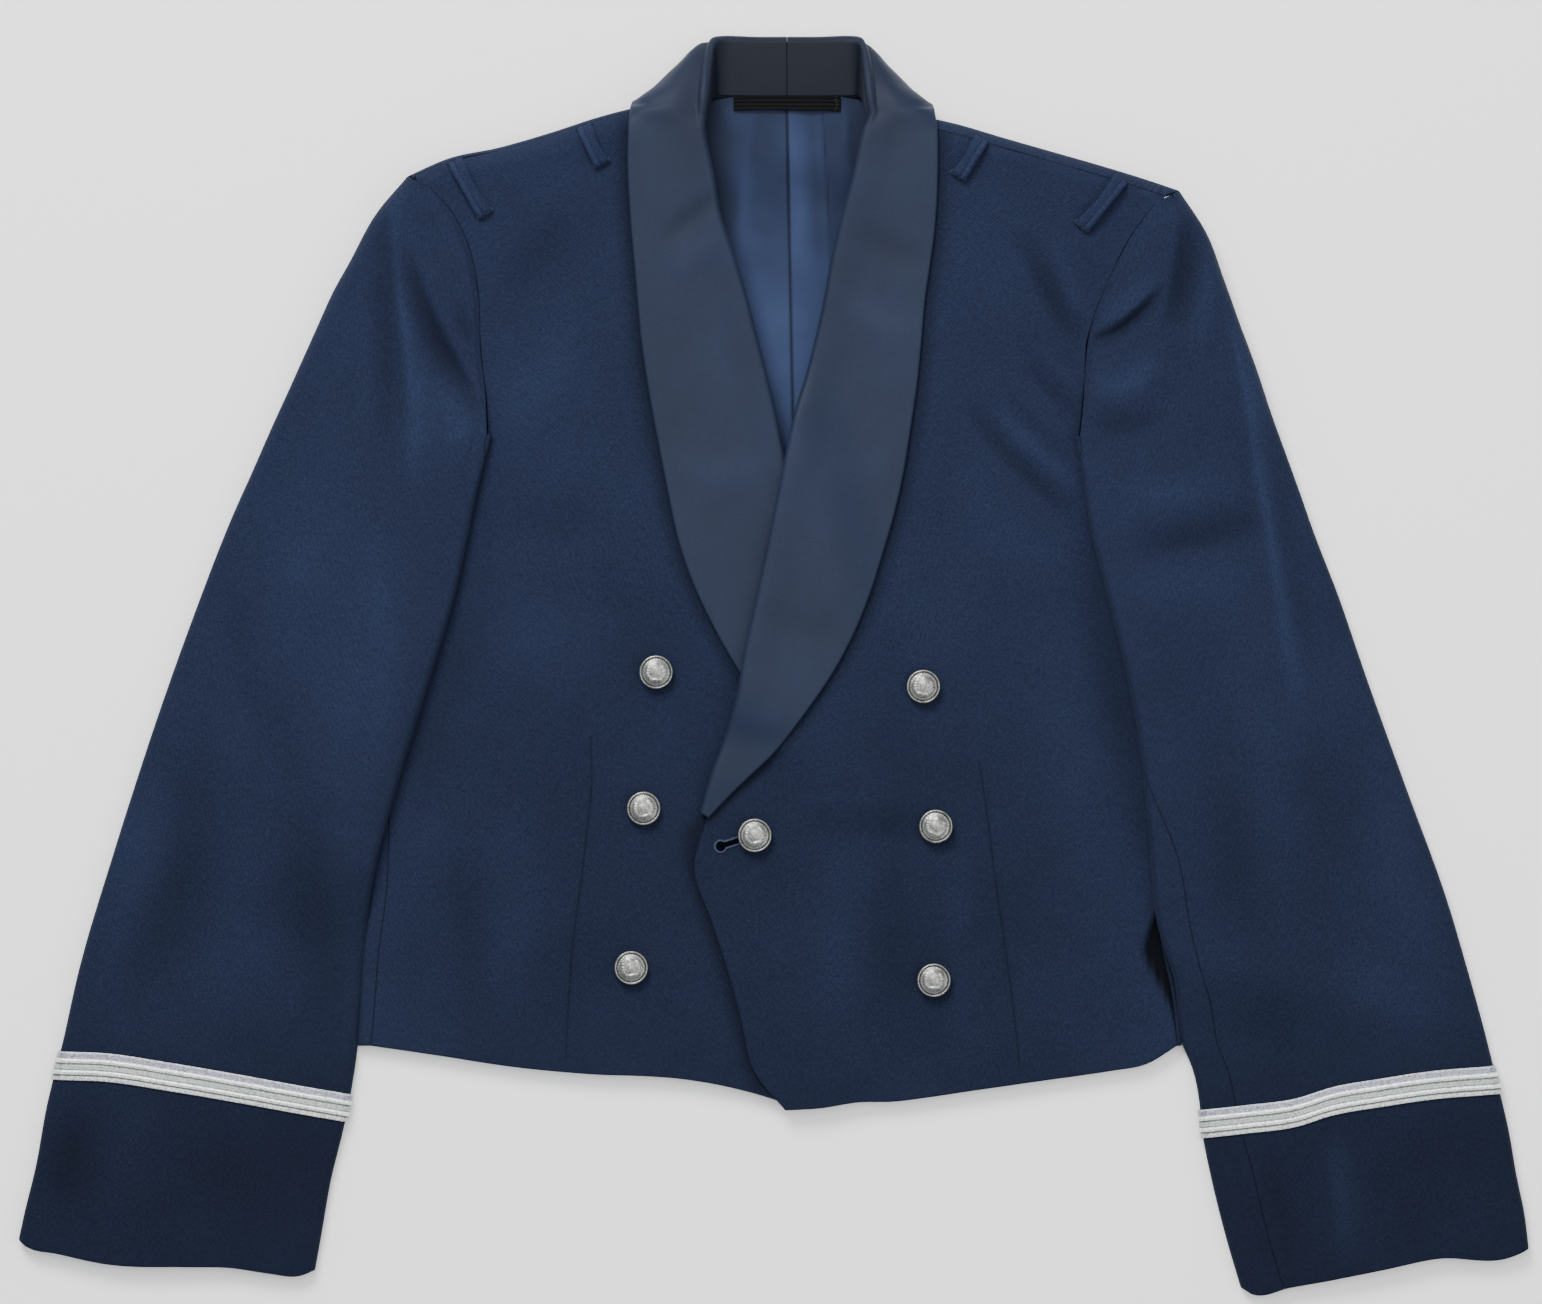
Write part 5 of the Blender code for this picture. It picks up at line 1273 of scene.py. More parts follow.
def silver_finish():
    """Aged silver: pale on what stands up, dark in the recesses (patina, and painted shade in place of dark
    reflections), with tarnish spots.
    """
    if once("button silver"):
        return once("button silver")
    trims = bpy.context.scene.jacket_trims
    made, tree, shader = new_finish("button silver", 0.3, metallic=0.9)
    _, where = uv_and_place(tree)
    tarnish = blotches(tree, where, 0.0012, 2.6)
    wide = blotches(tree, where, 0.006, 1.2)
    # recess mark: patina in the hollows and painted shade; the clean colour is mixed towards near black by it
    recess = attribute(tree, "recess")
    pale = math_node(tree, "MAXIMUM", math_node(tree, "MULTIPLY", tarnish, wide), 0.12)
    clean = shaded(tree, tuple(trims.silver), pale)
    tree.links.new(mixed(tree, recess, clean, (0.028, 0.03, 0.034)), shader.inputs["Base Color"])
    rough = math_node(tree, "MULTIPLY_ADD", tarnish, -0.25, 0.62)
    tree.links.new(math_node(tree, "MAXIMUM", rough, 0.22), shader.inputs["Roughness"])
    bumped(tree, shader, tarnish, 0.25, 0.0002)
    return made


def tape_finish():
    """Black woven tape with lengthwise ribs."""
    if once("hanger tape"):
        return once("hanger tape")
    made, tree, shader = new_finish("hanger tape", 0.8, specular=0.08)
    uv, where = uv_and_place(tree)
    split = node_of(tree, "ShaderNodeSeparateXYZ")
    tree.links.new(uv, split.inputs[0])
    rib = math_node(tree, "SINE", math_node(tree, "MULTIPLY", split.outputs["Y"], 2 * math.pi / 0.0022))
    cross = math_node(tree, "SINE", math_node(tree, "MULTIPLY", split.outputs["X"], 2 * math.pi / 0.0009))
    weave = math_node(tree, "MULTIPLY_ADD", rib, 0.3, math_node(tree, "MULTIPLY_ADD", cross, 0.15, 0.6))
    wide = blotches(tree, where, 0.009, 0.6)
    factor = math_node(tree, "MULTIPLY", weave, wide)
    coloured(tree, shader, (0.0042, 0.0048, 0.0050), factor)
    bumped(tree, shader, weave, 0.5, 0.0004)
    return made


def thread_finish(name, colour, specular=0.15):
    if once(name):
        return once(name)
    made, tree, shader = new_finish(name, 0.65, sheen=0.03, specular=specular)
    _, where = uv_and_place(tree)
    wide = blotches(tree, where, 0.0012, 0.7)
    coloured(tree, shader, colour, wide)
    return made


def floor_finish():
    if once("pale floor"):
        return once("pale floor")
    stage = bpy.context.scene.jacket_stage
    made, tree, shader = new_finish("pale floor", 0.9, specular=0.1)
    _, where = uv_and_place(tree)
    wide = blotches(tree, where, 0.9, 0.02)
    coloured(tree, shader, tuple(stage.floor), wide)
    return made


# ---------------------------------------------------------------- thread runs
def thread_tree():
    """Geometry nodes that lay small beads of thread along a path, all facing the path's "up"."""
    name = "Thread run"
    if bpy.data.node_groups.get(name):
        return bpy.data.node_groups[name]
    tree = bpy.data.node_groups.new(name, "GeometryNodeTree")
    tree.is_modifier = True
    io = tree.interface
    io.new_socket("Geometry", in_out="INPUT", socket_type="NodeSocketGeometry")
    for label, value in (("Spacing", 0.001), ("Length", 0.001), ("Width", 0.0005), ("Height", 0.0005),
                         ("Turn", 0.0), ("Unevenness", 0.15)):
        io.new_socket(label, in_out="INPUT", socket_type=FLOAT).default_value = value
    io.new_socket("Seed", in_out="INPUT", socket_type="NodeSocketInt").default_value = 1
    io.new_socket("Finish", in_out="INPUT", socket_type="NodeSocketMaterial")
    io.new_socket("Geometry", in_out="OUTPUT", socket_type="NodeSocketGeometry")
    link = tree.links.new
    take, give = node_of(tree, "NodeGroupInput"), node_of(tree, "NodeGroupOutput")
    curve = node_of(tree, "GeometryNodeMeshToCurve")
    even = node_of(tree, "GeometryNodeResampleCurve", mode="LENGTH")
    bead = node_of(tree, "GeometryNodeMeshUVSphere")
    bead.inputs["Segments"].default_value = 6
    bead.inputs["Rings"].default_value = 4
    bead.inputs["Radius"].default_value = 0.5
    along = node_of(tree, "FunctionNodeAlignRotationToVector", axis="X")
    upright = node_of(tree, "FunctionNodeAlignRotationToVector", axis="Z", pivot_axis="X")
    up = node_of(tree, "GeometryNodeInputNamedAttribute", data_type="FLOAT_VECTOR")
    up.inputs["Name"].default_value = "up"
    turn = node_of(tree, "FunctionNodeRotateRotation", rotation_space="LOCAL")
    turn_by = node_of(tree, "ShaderNodeCombineXYZ")
    chance = node_of(tree, "FunctionNodeRandomValue", data_type="FLOAT")
    size = node_of(tree, "ShaderNodeCombineXYZ")
    scaled = node_of(tree, "ShaderNodeVectorMath", operation="SCALE")
    spread = node_of(tree, "GeometryNodeInstanceOnPoints")
    real = node_of(tree, "GeometryNodeRealizeInstances")
    soft = node_of(tree, "GeometryNodeSetShadeSmooth")
    finish = node_of(tree, "GeometryNodeSetMaterial")
    link(take.outputs["Geometry"], curve.inputs[0])
    link(curve.outputs[0], even.inputs["Curve"])
    link(take.outputs["Spacing"], even.inputs["Length"])
    link(node_of(tree, "GeometryNodeInputTangent").outputs[0], along.inputs["Vector"])
    link(along.outputs[0], upright.inputs["Rotation"])
    link(up.outputs["Attribute"], upright.inputs["Vector"])
    link(upright.outputs[0], turn.inputs["Rotation"])
    link(take.outputs["Turn"], turn_by.inputs["Z"])
    link(turn_by.outputs[0], turn.inputs["Rotate By"])
    floats = [s for s in chance.inputs if s.type == "VALUE"]
    link(math_node(tree, "SUBTRACT", 1.0, take.outputs["Unevenness"]), floats[0])
    link(math_node(tree, "ADD", 1.0, take.outputs["Unevenness"]), floats[1])
    link(take.outputs["Seed"], chance.inputs["Seed"])
    for axis, label in zip("XYZ", ("Length", "Width", "Height")):
        link(take.outputs[label], size.inputs[axis])
    link(size.outputs[0], scaled.inputs[0])
    link([s for s in chance.outputs if s.type == "VALUE"][0], scaled.inputs["Scale"])
    link(even.outputs[0], spread.inputs["Points"])
    link(bead.outputs[0], spread.inputs["Instance"])
    link(turn.outputs[0], spread.inputs["Rotation"])
    link(scaled.outputs[0], spread.inputs["Scale"])
    link(spread.outputs[0], real.inputs[0])
    link(real.outputs[0], soft.inputs["Geometry"])
    link(soft.outputs[0], finish.inputs["Geometry"])
    link(take.outputs["Finish"], finish.inputs["Material"])
    link(finish.outputs[0], give.inputs["Geometry"])
    return tree


def thread_runs(name, paths, finish, seed=1, **sizes):
    """One piece of thread beads; each path is (points in mm, up directions). Sizes are in mm, the turn in radians."""
    points, edges, ups = [], [], []
    for path, up in paths:
        start = len(points)
        points += [tuple(p * MM) for p in np.asarray(path, float)]
        ups += [tuple(u) for u in np.broadcast_to(up, np.shape(path))]
        edges += [(start + k, start + k + 1) for k in range(len(path) - 1)]
    path_mesh = bpy.data.meshes.new(name + "_path")
    path_mesh.from_pydata(points, edges, [])
    path_mesh.attributes.new("up", "FLOAT_VECTOR", "POINT").data.foreach_set("vector", np.array(ups, float).ravel())
    carrier = add_object(name + "_path", path_mesh)
    tree = thread_tree()
    values = {key.capitalize(): value if key in ("turn", "unevenness") else value * MM
              for key, value in sizes.items()}
    values.update({"Seed": seed, "Finish": finish})
    modifier = carrier.modifiers.new("Thread run", "NODES")
    modifier.node_group = tree
    for item in tree.interface.items_tree:
        if item.item_type == "SOCKET" and item.in_out == "INPUT" and item.name in values:
            modifier[item.identifier] = values[item.name]
    graph = bpy.context.evaluated_depsgraph_get()
    mesh = bpy.data.meshes.new_from_object(carrier.evaluated_get(graph))
    bpy.data.objects.remove(carrier)
    mesh.name = name
    if not mesh.polygons:
        raise RuntimeError(name + ": the thread run came out empty")
    return place(name, mesh, finish)


# ---------------------------------------------------------------- back, lining and fronts
def declare(piece, node):
    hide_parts(node)


def on_seam(x, y, seam, column):
    """The grid's x with its side border on the seam line, the change fading away over 40 mm."""
    change = (seam - x[:, column]) * (1 - smooth(0, 18, y[:, column]))
    return x + change[:, None] * (1 - smooth(0, 40, np.abs(x - x[:, column:][:, :1])))


def build_back():
    hem, top, right, left = back_borders()
    flat = patch((hem, [0, len(hem) - 1]), (top, [0, len(top) - 1]), (right, BACK_CORNERS),
                 (left, BACK_CORNERS), 5, 6)
    for side, column in (("right", 0), ("left", -1)):
        y = flat[:, column, 1]
        seam = side_pattern_x(side, y, look_up(SIDE_SEAM_DEPTH[side], y) - SEAM, 1)
        flat[..., 0] = on_seam(flat[..., 0], flat[..., 1], seam, column)
    outer = back_surface(flat[..., 0], flat[..., 1])
    outer, fold = raised(outer, 1, BODY_CREASES, ("left", "right", "top"))
    seams = ("left", "right", "top")
    mark = edge_mark(outer, seams)
    outer = drop_edges(outer, 1, {"left": SEAM_DIP, "right": SEAM_DIP, "top": SEAM_DIP, "bottom": EDGE_ROUND})
    outer[..., 2] = np.maximum(outer[..., 2], 0)
    return cloth_piece("back_panel", outer, BACK_CLOTH, wool_finish(),
                       marks={"seam": mark, "dart": 30 + 0 * mark, "fold": fold})


def lining_height(x, y):
    """Folds of the lining: a centre pleat, a second fold beside it and a pucker beside one end of the tape."""
    pleat = 0.9 * smooth(-0.6, 0.6, x + 0.02 * (y - 250)) * (1 - smooth(6, 22, x))
    second = 0.5 * np.exp(-((x - 18 + 0.06 * (y - 250)) / 2.6) ** 2) * (1 - smooth(236, 262, y) * 0.4)
    pucker = 0.45 * np.exp(-((x - 33) / 3.2) ** 2) * np.exp(-((y - 247) / 12) ** 2)
    left_fold = 0.4 * np.exp(-((x + 21 - 0.1 * (y - 240)) / 4.5) ** 2)
    wave = 0.3 * np.sin(x / 4.6 + y / 31) * smooth(120, 230, y) + 0.14 * np.sin(y / 5.3 + x / 11)
    return pleat + second + pucker + left_fold + wave


def build_lining():
    sides = []
    for side in ("right", "left"):
        lower = [(side_fold_x(side, y) - SIDES[side] * 14.0, y) for y in np.linspace(-256, 40, 7)]
        upper = [(SIDES[side] * x, y) for x, y in ((205, 90), (178, 130), (176, 180), (186, 196))]
        sides.append(np.array([(float(x), y) for x, y in lower + upper]))
    hem = spline(((sides[0][0, 0], -256), (0, -264), (sides[1][0, 0], -256)), count=13)
    top_y = NECK_SEAM_Y - SEAM
    shoulders = ((-186, 196), (-130, 222), (-80, 236), (-52, 250), (-44, 262), (-30, top_y), (0, top_y))
    shoulders += tuple((-x, y) for x, y in shoulders[-2::-1])
    grid = patch((hem, [0, 12]), (np.array(shoulders, float), [0, 3, 5, 7, 9, 12]), (sides[0], [0, 10]),
                 (sides[1], [0, 10]), 16, 14)
    x, y = grid[..., 0], grid[..., 1]
    bed = COLLAR_BED * smooth(BED_START - 18, BED_TOP - 10, y) * (1 - smooth(104, 140, np.abs(x)))
    edge = smooth(0, 9, edge_mark(np.stack([x, y, 0 * x], axis=-1), ("bottom", "top", "left", "right")))
    folds = np.maximum(lining_height(x, y), 0) * edge * smooth(150, 200, y)
    top = bed + BACK_CLOTH + GAP + LINING_CLOTH + folds
    beside_pleat = smooth(14, 44, np.abs(x)) * (1 - smooth(60, 90, np.abs(x)))
    dim = LINING_SHADE[0] * smooth(120, 215, y) + LINING_SHADE[1] * beside_pleat
    outer = np.stack([x, y, top], axis=-1)
    pleat = (x + 0.02 * (y - 250)) * 1.0
    second = np.abs(x - 20.5 + 0.06 * (y - 250)) + 0.6
    mark = np.where(np.abs(pleat) < second, pleat, second)
    return cloth_piece("lining_panel", outer, LINING_CLOTH, lining_finish(),
                       marks={"pleat": mark, "fold": folds - 0.3, "dim": dim}, outward=-1)


def beside(x, y, path, reach):
    """1 on a path and less away from it."""
    return np.exp(-(line_distance(x, y, path)[0] / reach) ** 2)


def front_shade(side, x, y):
    """Share of light that the front loses under the chest, beside what lies on it, and in its hollow."""
    shade = 0.2 * smooth(60, -190, y) * smooth(235, 120, np.abs(x))
    shade = np.maximum(shade, LAPEL_SHADE[0] * beside(x, y, lapel_rows(side)[:, 2:4], LAPEL_SHADE[1]))
    if side == "right":
        shade = np.maximum(shade, EDGE_SHADE[0] * beside(x, y, FRONT_EDGE["left"][2:], EDGE_SHADE[1]))
    return np.maximum(shade, HOLLOW_SHADE * hollow(side, x, y))


def hollow(side, x, y):
    """1 in the dark hollow between the left front's edge and the sleeve, 0 outside it."""
    if side == "right":
        return 0 * x
    return smooth(-2, 2, x - look_up(HOLLOW, y)) * smooth(-183, -191, y)


def build_front(side):
    hem, top, outside, inside = front_borders(side)
    grid = patch((hem, [0, len(hem) - 1]), (top, [0, len(top) - 1]), (outside, FRONT_OUTSIDE),
                 (inside, FRONT_INSIDE), 7, 13)
    x, y = grid[..., 0], grid[..., 1]
    depth = look_up(SIDE_SEAM_DEPTH[side], y[:, 0]) + SEAM
    x = on_seam(x, y, side_fold_x(side, y[:, 0]) - SIDES[side] * depth, 0)
    outer = np.stack([x, y, FRONT_TOP[side](x, y)], axis=-1)
    mark = edge_mark(outer, ("left", "top"))
    dart, share = line_distance(x, y, DARTS[side])
    ends = smooth(0.0, 0.03, share) * (1 - smooth(0.985, 1.0, share))
    dart = np.where(ends > 0.5, dart, 30.0)
    outer[..., 2] -= 3.5 * hollow(side, x, y)
    outer, fold = raised(outer, SIDES[side], BODY_CREASES, ("left", "top"))
    distances = edge_distances(outer)
    reach, depth = EDGE_ROUND
    on_edge = 1 - smooth(5.6, 6.4, np.linspace(0, 23, len(x)))[:, None]
    free = round_over(distances["right"], reach, depth) * on_edge
    dim = front_shade(side, x, y)
    outer = drop_edges(outer, SIDES[side], {"left": SEAM_DIP, "top": SEAM_DIP, "bottom": EDGE_ROUND})
    outer = outer - np.array([0, 0, 1.0]) * free[..., None]
    return cloth_piece("%s_front" % side, outer, FRONT_CLOTH, wool_finish(),
                       marks={"seam": mark, "dart": dart, "fold": fold, "dim": dim}, outward=SIDES[side])


# ---------------------------------------------------------------- sleeves
def sleeve_grid(side, columns_of, face, detail_u, detail_v):
    """A fine grid of the sleeve's outer face, and the fine rows' and columns' places in coarse cells."""
    stations = np.concatenate([CAP_STATIONS, ARM_STATIONS])
    v = positions(len(stations) - 1, detail_v)
    u = positions(len(columns_of(side, 1.5)) - 1, detail_u)
    turn = len(CAP_STATIONS)

    def row(place):
        station = float(np.interp(place, np.arange(len(stations)), stations))
        columns = columns_of(side, station)
        return sleeve_section(side, station, np.interp(u, np.arange(len(columns)), columns), face)

    rows = []
    for place in v:
        if turn - 1 < place < turn:
            share = place - (turn - 1)
            rows.append((1 - share) * row(turn - 1) + share * row(turn))
        else:
            rows.append(row(place))
    return np.array(rows), u, v


def build_sleeve(side, face):
    name = "%s_%s_sleeve" % (side, "top" if face > 0 else "under")
    outward = SIDES[side] * face
    detail = (6, 11) if face > 0 else (5, 8)
    outer, u, v = sleeve_grid(side, top_columns if face > 0 else under_columns, face, *detail)
    keep = None
    if face < 0:
        middle_u, middle_v = (u[1:] + u[:-1]) / 2, (v[1:] + v[:-1]) / 2
        keep = ~((middle_v < len(CAP_STATIONS))[:, None] & (middle_u < UNDERARM_COLUMN)[None, :])
    mark = edge_mark(outer, ("left", "right", "bottom"))
    outer, fold = raised(outer, outward, SLEEVE_CREASES[side], ("left", "right"))
    # painted shade: darker down the arm and most at the cuffs, for light that falls off there
    dim = 0.16 * smooth(0, -240, outer[..., 1]) + 0.26 * smooth(-230, -330, outer[..., 1])
    outer = drop_edges(outer, outward, {"left": SEAM_DIP, "right": SEAM_DIP, "bottom": SEAM_DIP, "top": EDGE_ROUND})
    outer[..., 2] = np.maximum(outer[..., 2], 0)
    return cloth_piece(name, outer, SLEEVE_CLOTH, wool_finish(), keep=keep, outward=outward,
                       marks={"seam": mark, "dart": 30 + 0 * mark, "fold": fold, "dim": dim})


# ---------------------------------------------------------------- collar
def build_collar(side):
    table = np.array(COLLAR_BACK, float)
    at = np.arange(len(table), dtype=float)
    where = np.linspace(0, len(table) - 1, 2 * len(table) - 1)
    rows = np.column_stack([look_up(np.column_stack([at, column]), where) for column in table.T])
    back = [neck_section(side, row, 13, 22) for row in rows]
    lapel = [lapel_section(side, row, 13, 22) for row in spline(LAPEL[side], count=18)]
    coarse = np.array(back + lapel)
    coarse[0, :, 0] = SIDES[side] * SEAM
    v = positions(len(coarse) - 1, 7)
    at = np.arange(len(coarse), dtype=float)
    flat = coarse.reshape(len(coarse), -1)
    outer = np.column_stack([look_up(np.column_stack([at, column]), v) for column in flat.T])
    outer = outer.reshape(len(v), -1, 3)
    outer[0, :, 0] = SIDES[side] * SEAM
    near = np.linspace(0, outer.shape[1] - 1, outer.shape[1])
    near = np.unique(np.concatenate([near, near[-1] - np.array([0.12, 0.35, 0.65])]))
    low = np.floor(near).astype(int).clip(0, outer.shape[1] - 2)
    share = (near - low)[None, :, None]
    outer = outer[:, low] * (1 - share) + outer[:, low + 1] * share
    mark = edge_mark(outer, ("bottom",))
    outer, fold = raised(outer, SIDES[side], COLLAR_CREASES, ())
    # painted shade: darker behind the neck, and on the collar's stand
    dim = 0.25 * smooth(215, 262, outer[..., 1]) * (1 - smooth(50, 80, np.abs(outer[..., 0])))
    stand = (1 - smooth(1, 7, near))[None, :] * (1 - smooth(len(back) - 3.5, len(back) - 0.5, v))[:, None]
    dim = np.maximum(dim, STAND_SHADE * stand)
    outer = drop_edges(outer, SIDES[side], {"bottom": SEAM_DIP, "top": (1.0, 0.8), "right": (1.1, 0.9)})
    outer[..., 2] = np.maximum(outer[..., 2], 0)
    return cloth_piece("%s_collar" % side, outer, COLLAR_CLOTH, satin_finish(),
                       marks={"seam": mark, "fold": fold, "dim": dim}, outward=SIDES[side])


# ---------------------------------------------------------------- trims
def on_front(side, x, y):
    """Height of the front's cloth, creases included."""
    x, y = np.asarray(x, float), np.asarray(y, float)
    return FRONT_TOP[side](x, y) + relief(x, y, BODY_CREASES)


def front_point(side, place):
    return np.column_stack([place, on_front(side, place[:, 0], place[:, 1])])


def build_loop(name, ends):
    """A shoulder loop with a corded edge, pressed down at both ends, with a bar tack at the end away from the shoulder.
    """
    side = name.split("_")[0]
    start, end = np.array(ends[:2], float), np.array(ends[2:], float)
    length = np.linalg.norm(end - start)
    forward = (end - start) / length
    across = np.array([-forward[1], forward[0]])
    along, sideways = positions(8, 6) / 8, positions(8, 2) / 8
    bow = 0.8 * np.sin(math.pi * along)[:, None] * SIDES[side]
    wide = LOOP_WIDTH * (1 + 0.12 * np.cos(2 * math.pi * along))[:, None]
    offset = (sideways[None, :] - 0.5) * wide + bow
    place_xy = start + (end - start) * along[:, None, None] + across * offset[..., None]
    lift = GAP + 0.2 + LOOP_LIFT * np.sin(math.pi * along)[:, None] + LOOP_THICK
    from_cord = sideways - 0.83 if side == "left" else 0.17 - sideways
    ridge = np.exp(-(from_cord / 0.11) ** 2)
    cord = 1.1 * np.sqrt(1 - (2 * sideways - 1) ** 2) + 0.6 * ridge - 0.3 * np.exp(-((from_cord + 0.19) / 0.07) ** 2)
    press = 1 - 0.45 * (np.exp(-(along / 0.05) ** 2) + np.exp(-((1 - along) / 0.05) ** 2))
    height = on_front(side, place_xy[..., 0], place_xy[..., 1]) + lift * press[:, None] + cord[None, :]
    outer = np.concatenate([place_xy, height[..., None]], axis=-1)
    mark = 30 + 0 * height
    # kept as the dart mark: a dark line in the groove beside the cord, painted shade
    line = np.broadcast_to((from_cord + 0.19) * LOOP_WIDTH, height.shape)
    outer = drop_edges(outer, -1, {"left": (0.9, 0.6), "right": (0.9, 0.6), "bottom": (0.9, 0.6), "top": (0.9, 0.6)})
    # kept as the fold mark: the loop brightened, most on its cord, painted highlight
    pale = np.broadcast_to(0.6 + 2.4 * ridge, height.shape)
    piece = cloth_piece("%s_shoulder_loop" % name, outer, LOOP_THICK, wool_finish(), outward=-1,
                        marks={"seam": mark, "dart": line, "fold": pale})
    bar = end - forward * 0.8 + across * np.linspace(-4.6, 4.6, 12)[:, None]
    points = front_point(side, bar)
    points[:, 2] += 2.6 - 0.9 * np.linspace(-1, 1, 12) ** 2
    tack = thread_runs("%s_loop_tacks" % name, [(points, (0, 0, 1))],
                       thread_finish("tack thread", (0.017, 0.025, 0.046)), seed=4, spacing=0.7, length=3.6,
                       width=0.95, height=1.3, turn=1.45)
    return piece, tack


def build_hanger():
    """Ribbed woven tape across the neck seam, with a tack of pale stitches at each end."""
    u, v = positions(20, 5) / 20, positions(8, 3) / 8
    x = (u - 0.5) * HANGER_LENGTH
    grid_x, across = np.meshgrid(x, v)
    y = (NECK_SEAM_Y - SEAM - HANGER_WIDTH * across - 0.35 * np.sin(grid_x / 7.5) * across
         - 0.9 * smooth(20, 30, grid_x) * across)
    lining_top = COLLAR_BED + BACK_CLOTH + GAP + LINING_CLOTH
    lift = 1.35 * np.cos(grid_x / HANGER_LENGTH * math.pi) ** 0.6 + 0.25 * np.sin(grid_x / 6.3)
    ribs = 0.16 * np.sin(across * 2 * math.pi * 3.5)
    height = lining_top + 1.25 + np.maximum(lift, 0) + ribs
    outer = np.stack([grid_x, y, height + 0.6], axis=-1)
    outer = drop_edges(outer, 1, {"left": (0.7, 0.5), "right": (0.7, 0.5), "bottom": (0.7, 0.4), "top": (0.7, 0.4)})
    piece = cloth_piece("neck_tape", outer, 0.9, tape_finish(), outward=1)
    paths = []
    for x_at, sway in ((-HANGER_LENGTH / 2 + 2.2, 0.3), (HANGER_LENGTH / 2 - 2.4, -0.4)):
        down = np.linspace(0.5, HANGER_WIDTH - 0.3, 9)
        points = np.column_stack([x_at + sway * np.sin(down), NECK_SEAM_Y - SEAM - down,
                                  np.full(9, lining_top + 1.25 + 0.75)])
        paths.append((points, (0, 0, 1)))
    tack = thread_runs("neck_tape_stitches", paths, thread_finish("pale thread", (0.055, 0.060, 0.065)), seed=9,
                       spacing=1.25, length=0.95, width=0.42, height=0.4)
    return piece, tack


def braid_profile(share):
    """Thickness of the braid at this share of its width: two raised lines, a dip and soft edges."""
    lines = 0.38 * (np.exp(-((share - 0.32) / 0.05) ** 2) + np.exp(-((share - 0.715) / 0.05) ** 2))
    grooves = 0.25 * (np.exp(-((share - 0.82) / 0.025) ** 2) + np.exp(-((share - 0.415) / 0.02) ** 2))
    return 0.75 + lines - grooves + 0.12 * np.exp(-((share - 0.55) / 0.1) ** 2)


def build_braid(side):
    """Metal braid round the cuff and over both folds, with picks of bright thread on its raised lines."""
    width = bpy.context.scene.jacket_trims.braid_width / MM
    stations = np.linspace(1.5, 1.985, 50)
    shares = np.concatenate([np.linspace(-0.01, 0.06, 14), np.linspace(0.06, 0.94, 110)[1:-1],
                             np.linspace(0.94, 1.01, 14)])
    surface = np.array([sleeve_section(side, s, shares * across_length(side, s), 1) for s in stations])
    surface, _ = raised(surface, SIDES[side], SLEEVE_CREASES[side], ())
    outward = grid_normals(surface) * SIDES[side]
    down = positions(16, 2) / 16

    def at(drop):
        """Points and normals of the sleeve's face this far below the braid's upper edge."""
        points, normals = [], []
        for column in range(len(shares)):
            past = look_up(LACE_TOP[side], surface[:, column, 0]) - drop - surface[:, column, 1]
            station = np.interp(0, past, np.arange(len(stations)))
            k = min(int(station), len(stations) - 2)
            share = station - k
            points.append(surface[k, column] * (1 - share) + surface[k + 1, column] * share)
            normals.append(outward[k, column] * (1 - share) + outward[k + 1, column] * share)
        return np.array(points), np.array(normals)

    rows = [at(share * width) for share in down]
    low, normals = np.array([r[0] for r in rows]), np.array([r[1] for r in rows])
    top = low + normals * (GAP + 0.25 + braid_profile(down)[:, None, None])
    top = drop_edges(top, SIDES[side], {"bottom": (0.5, 0.35), "top": (0.5, 0.35), "left": (0.8, 0.5),
                                         "right": (0.8, 0.5)})
    band = np.broadcast_to(down[:, None], top.shape[:2])
    piece = cloth_piece("%s_cuff_braid" % side, top, 0.55, braid_finish(), marks={"band": band}, outward=SIDES[side])
    bright, centre = [], []
    for share in (0.32, 0.715):
        points, up = at(share * width)
        bright.append((points + up * (GAP + 0.3 + float(braid_profile(share))), up))
    for share in (0.50, 0.57):
        points, up = at(share * width)
        centre.append((points + up * (GAP + 0.22 + float(braid_profile(share))), up))
    picks = thread_runs("%s_braid_lines" % side, bright, pick_finish(), seed=21, spacing=0.85, length=1.35,
                        width=0.62, height=0.5, turn=0.75)
    ground = thread_runs("%s_braid_ground" % side, centre, thread_finish("braid ground thread", (0.40, 0.44, 0.41)),
                         seed=22, spacing=1.15, length=1.1, width=0.7, height=0.45, turn=-0.6, unevenness=0.35)
    return piece, picks, ground


def button_face(radius, angle, rim):
    """Relief of a button's dome: a wreath round a boss and a bar, beads, and a groove inside the rim."""
    t = radius / rim
    x, y = t * np.cos(angle), t * np.sin(angle)
    leaves = 0.5 + 0.5 * np.cos(19 * angle + 16 * (t - 0.54) * np.sign(x))
    wreath = (0.12 + 0.30 * leaves) * np.exp(-((t - 0.54) / 0.09) ** 2) * (1 - smooth(0.55, 0.85, np.sin(angle)))
    boss = (0.5 * np.exp(-(x / 0.2) ** 2 - ((y - 0.04) / 0.24) ** 2)
            - 0.2 * np.exp(-(x / 0.05) ** 2 - ((y - 0.04) / 0.15) ** 2))
    knob = 0.34 * np.exp(-(x / 0.11) ** 2 - ((y - 0.44) / 0.08) ** 2)
    bar = 0.5 * np.exp(-(x / 0.33) ** 4 - ((y + 0.47) / 0.085) ** 4)
    beads = 0.22 * (0.5 + 0.5 * np.cos(30 * angle)) * np.exp(-((t - 0.76) / 0.04) ** 2)
    return np.maximum(wreath, bar) + boss + knob + beads - 0.35 * np.exp(-((t - 0.85) / 0.025) ** 2)


def face_number(face):
    """A number of its own for each face, from its corners, to sort by: a spin makes its faces in no fixed order."""
    first, second, third = sorted(corner.index for corner in face.verts)[:3]
    return (first * 10000 + second) * 10000 + third


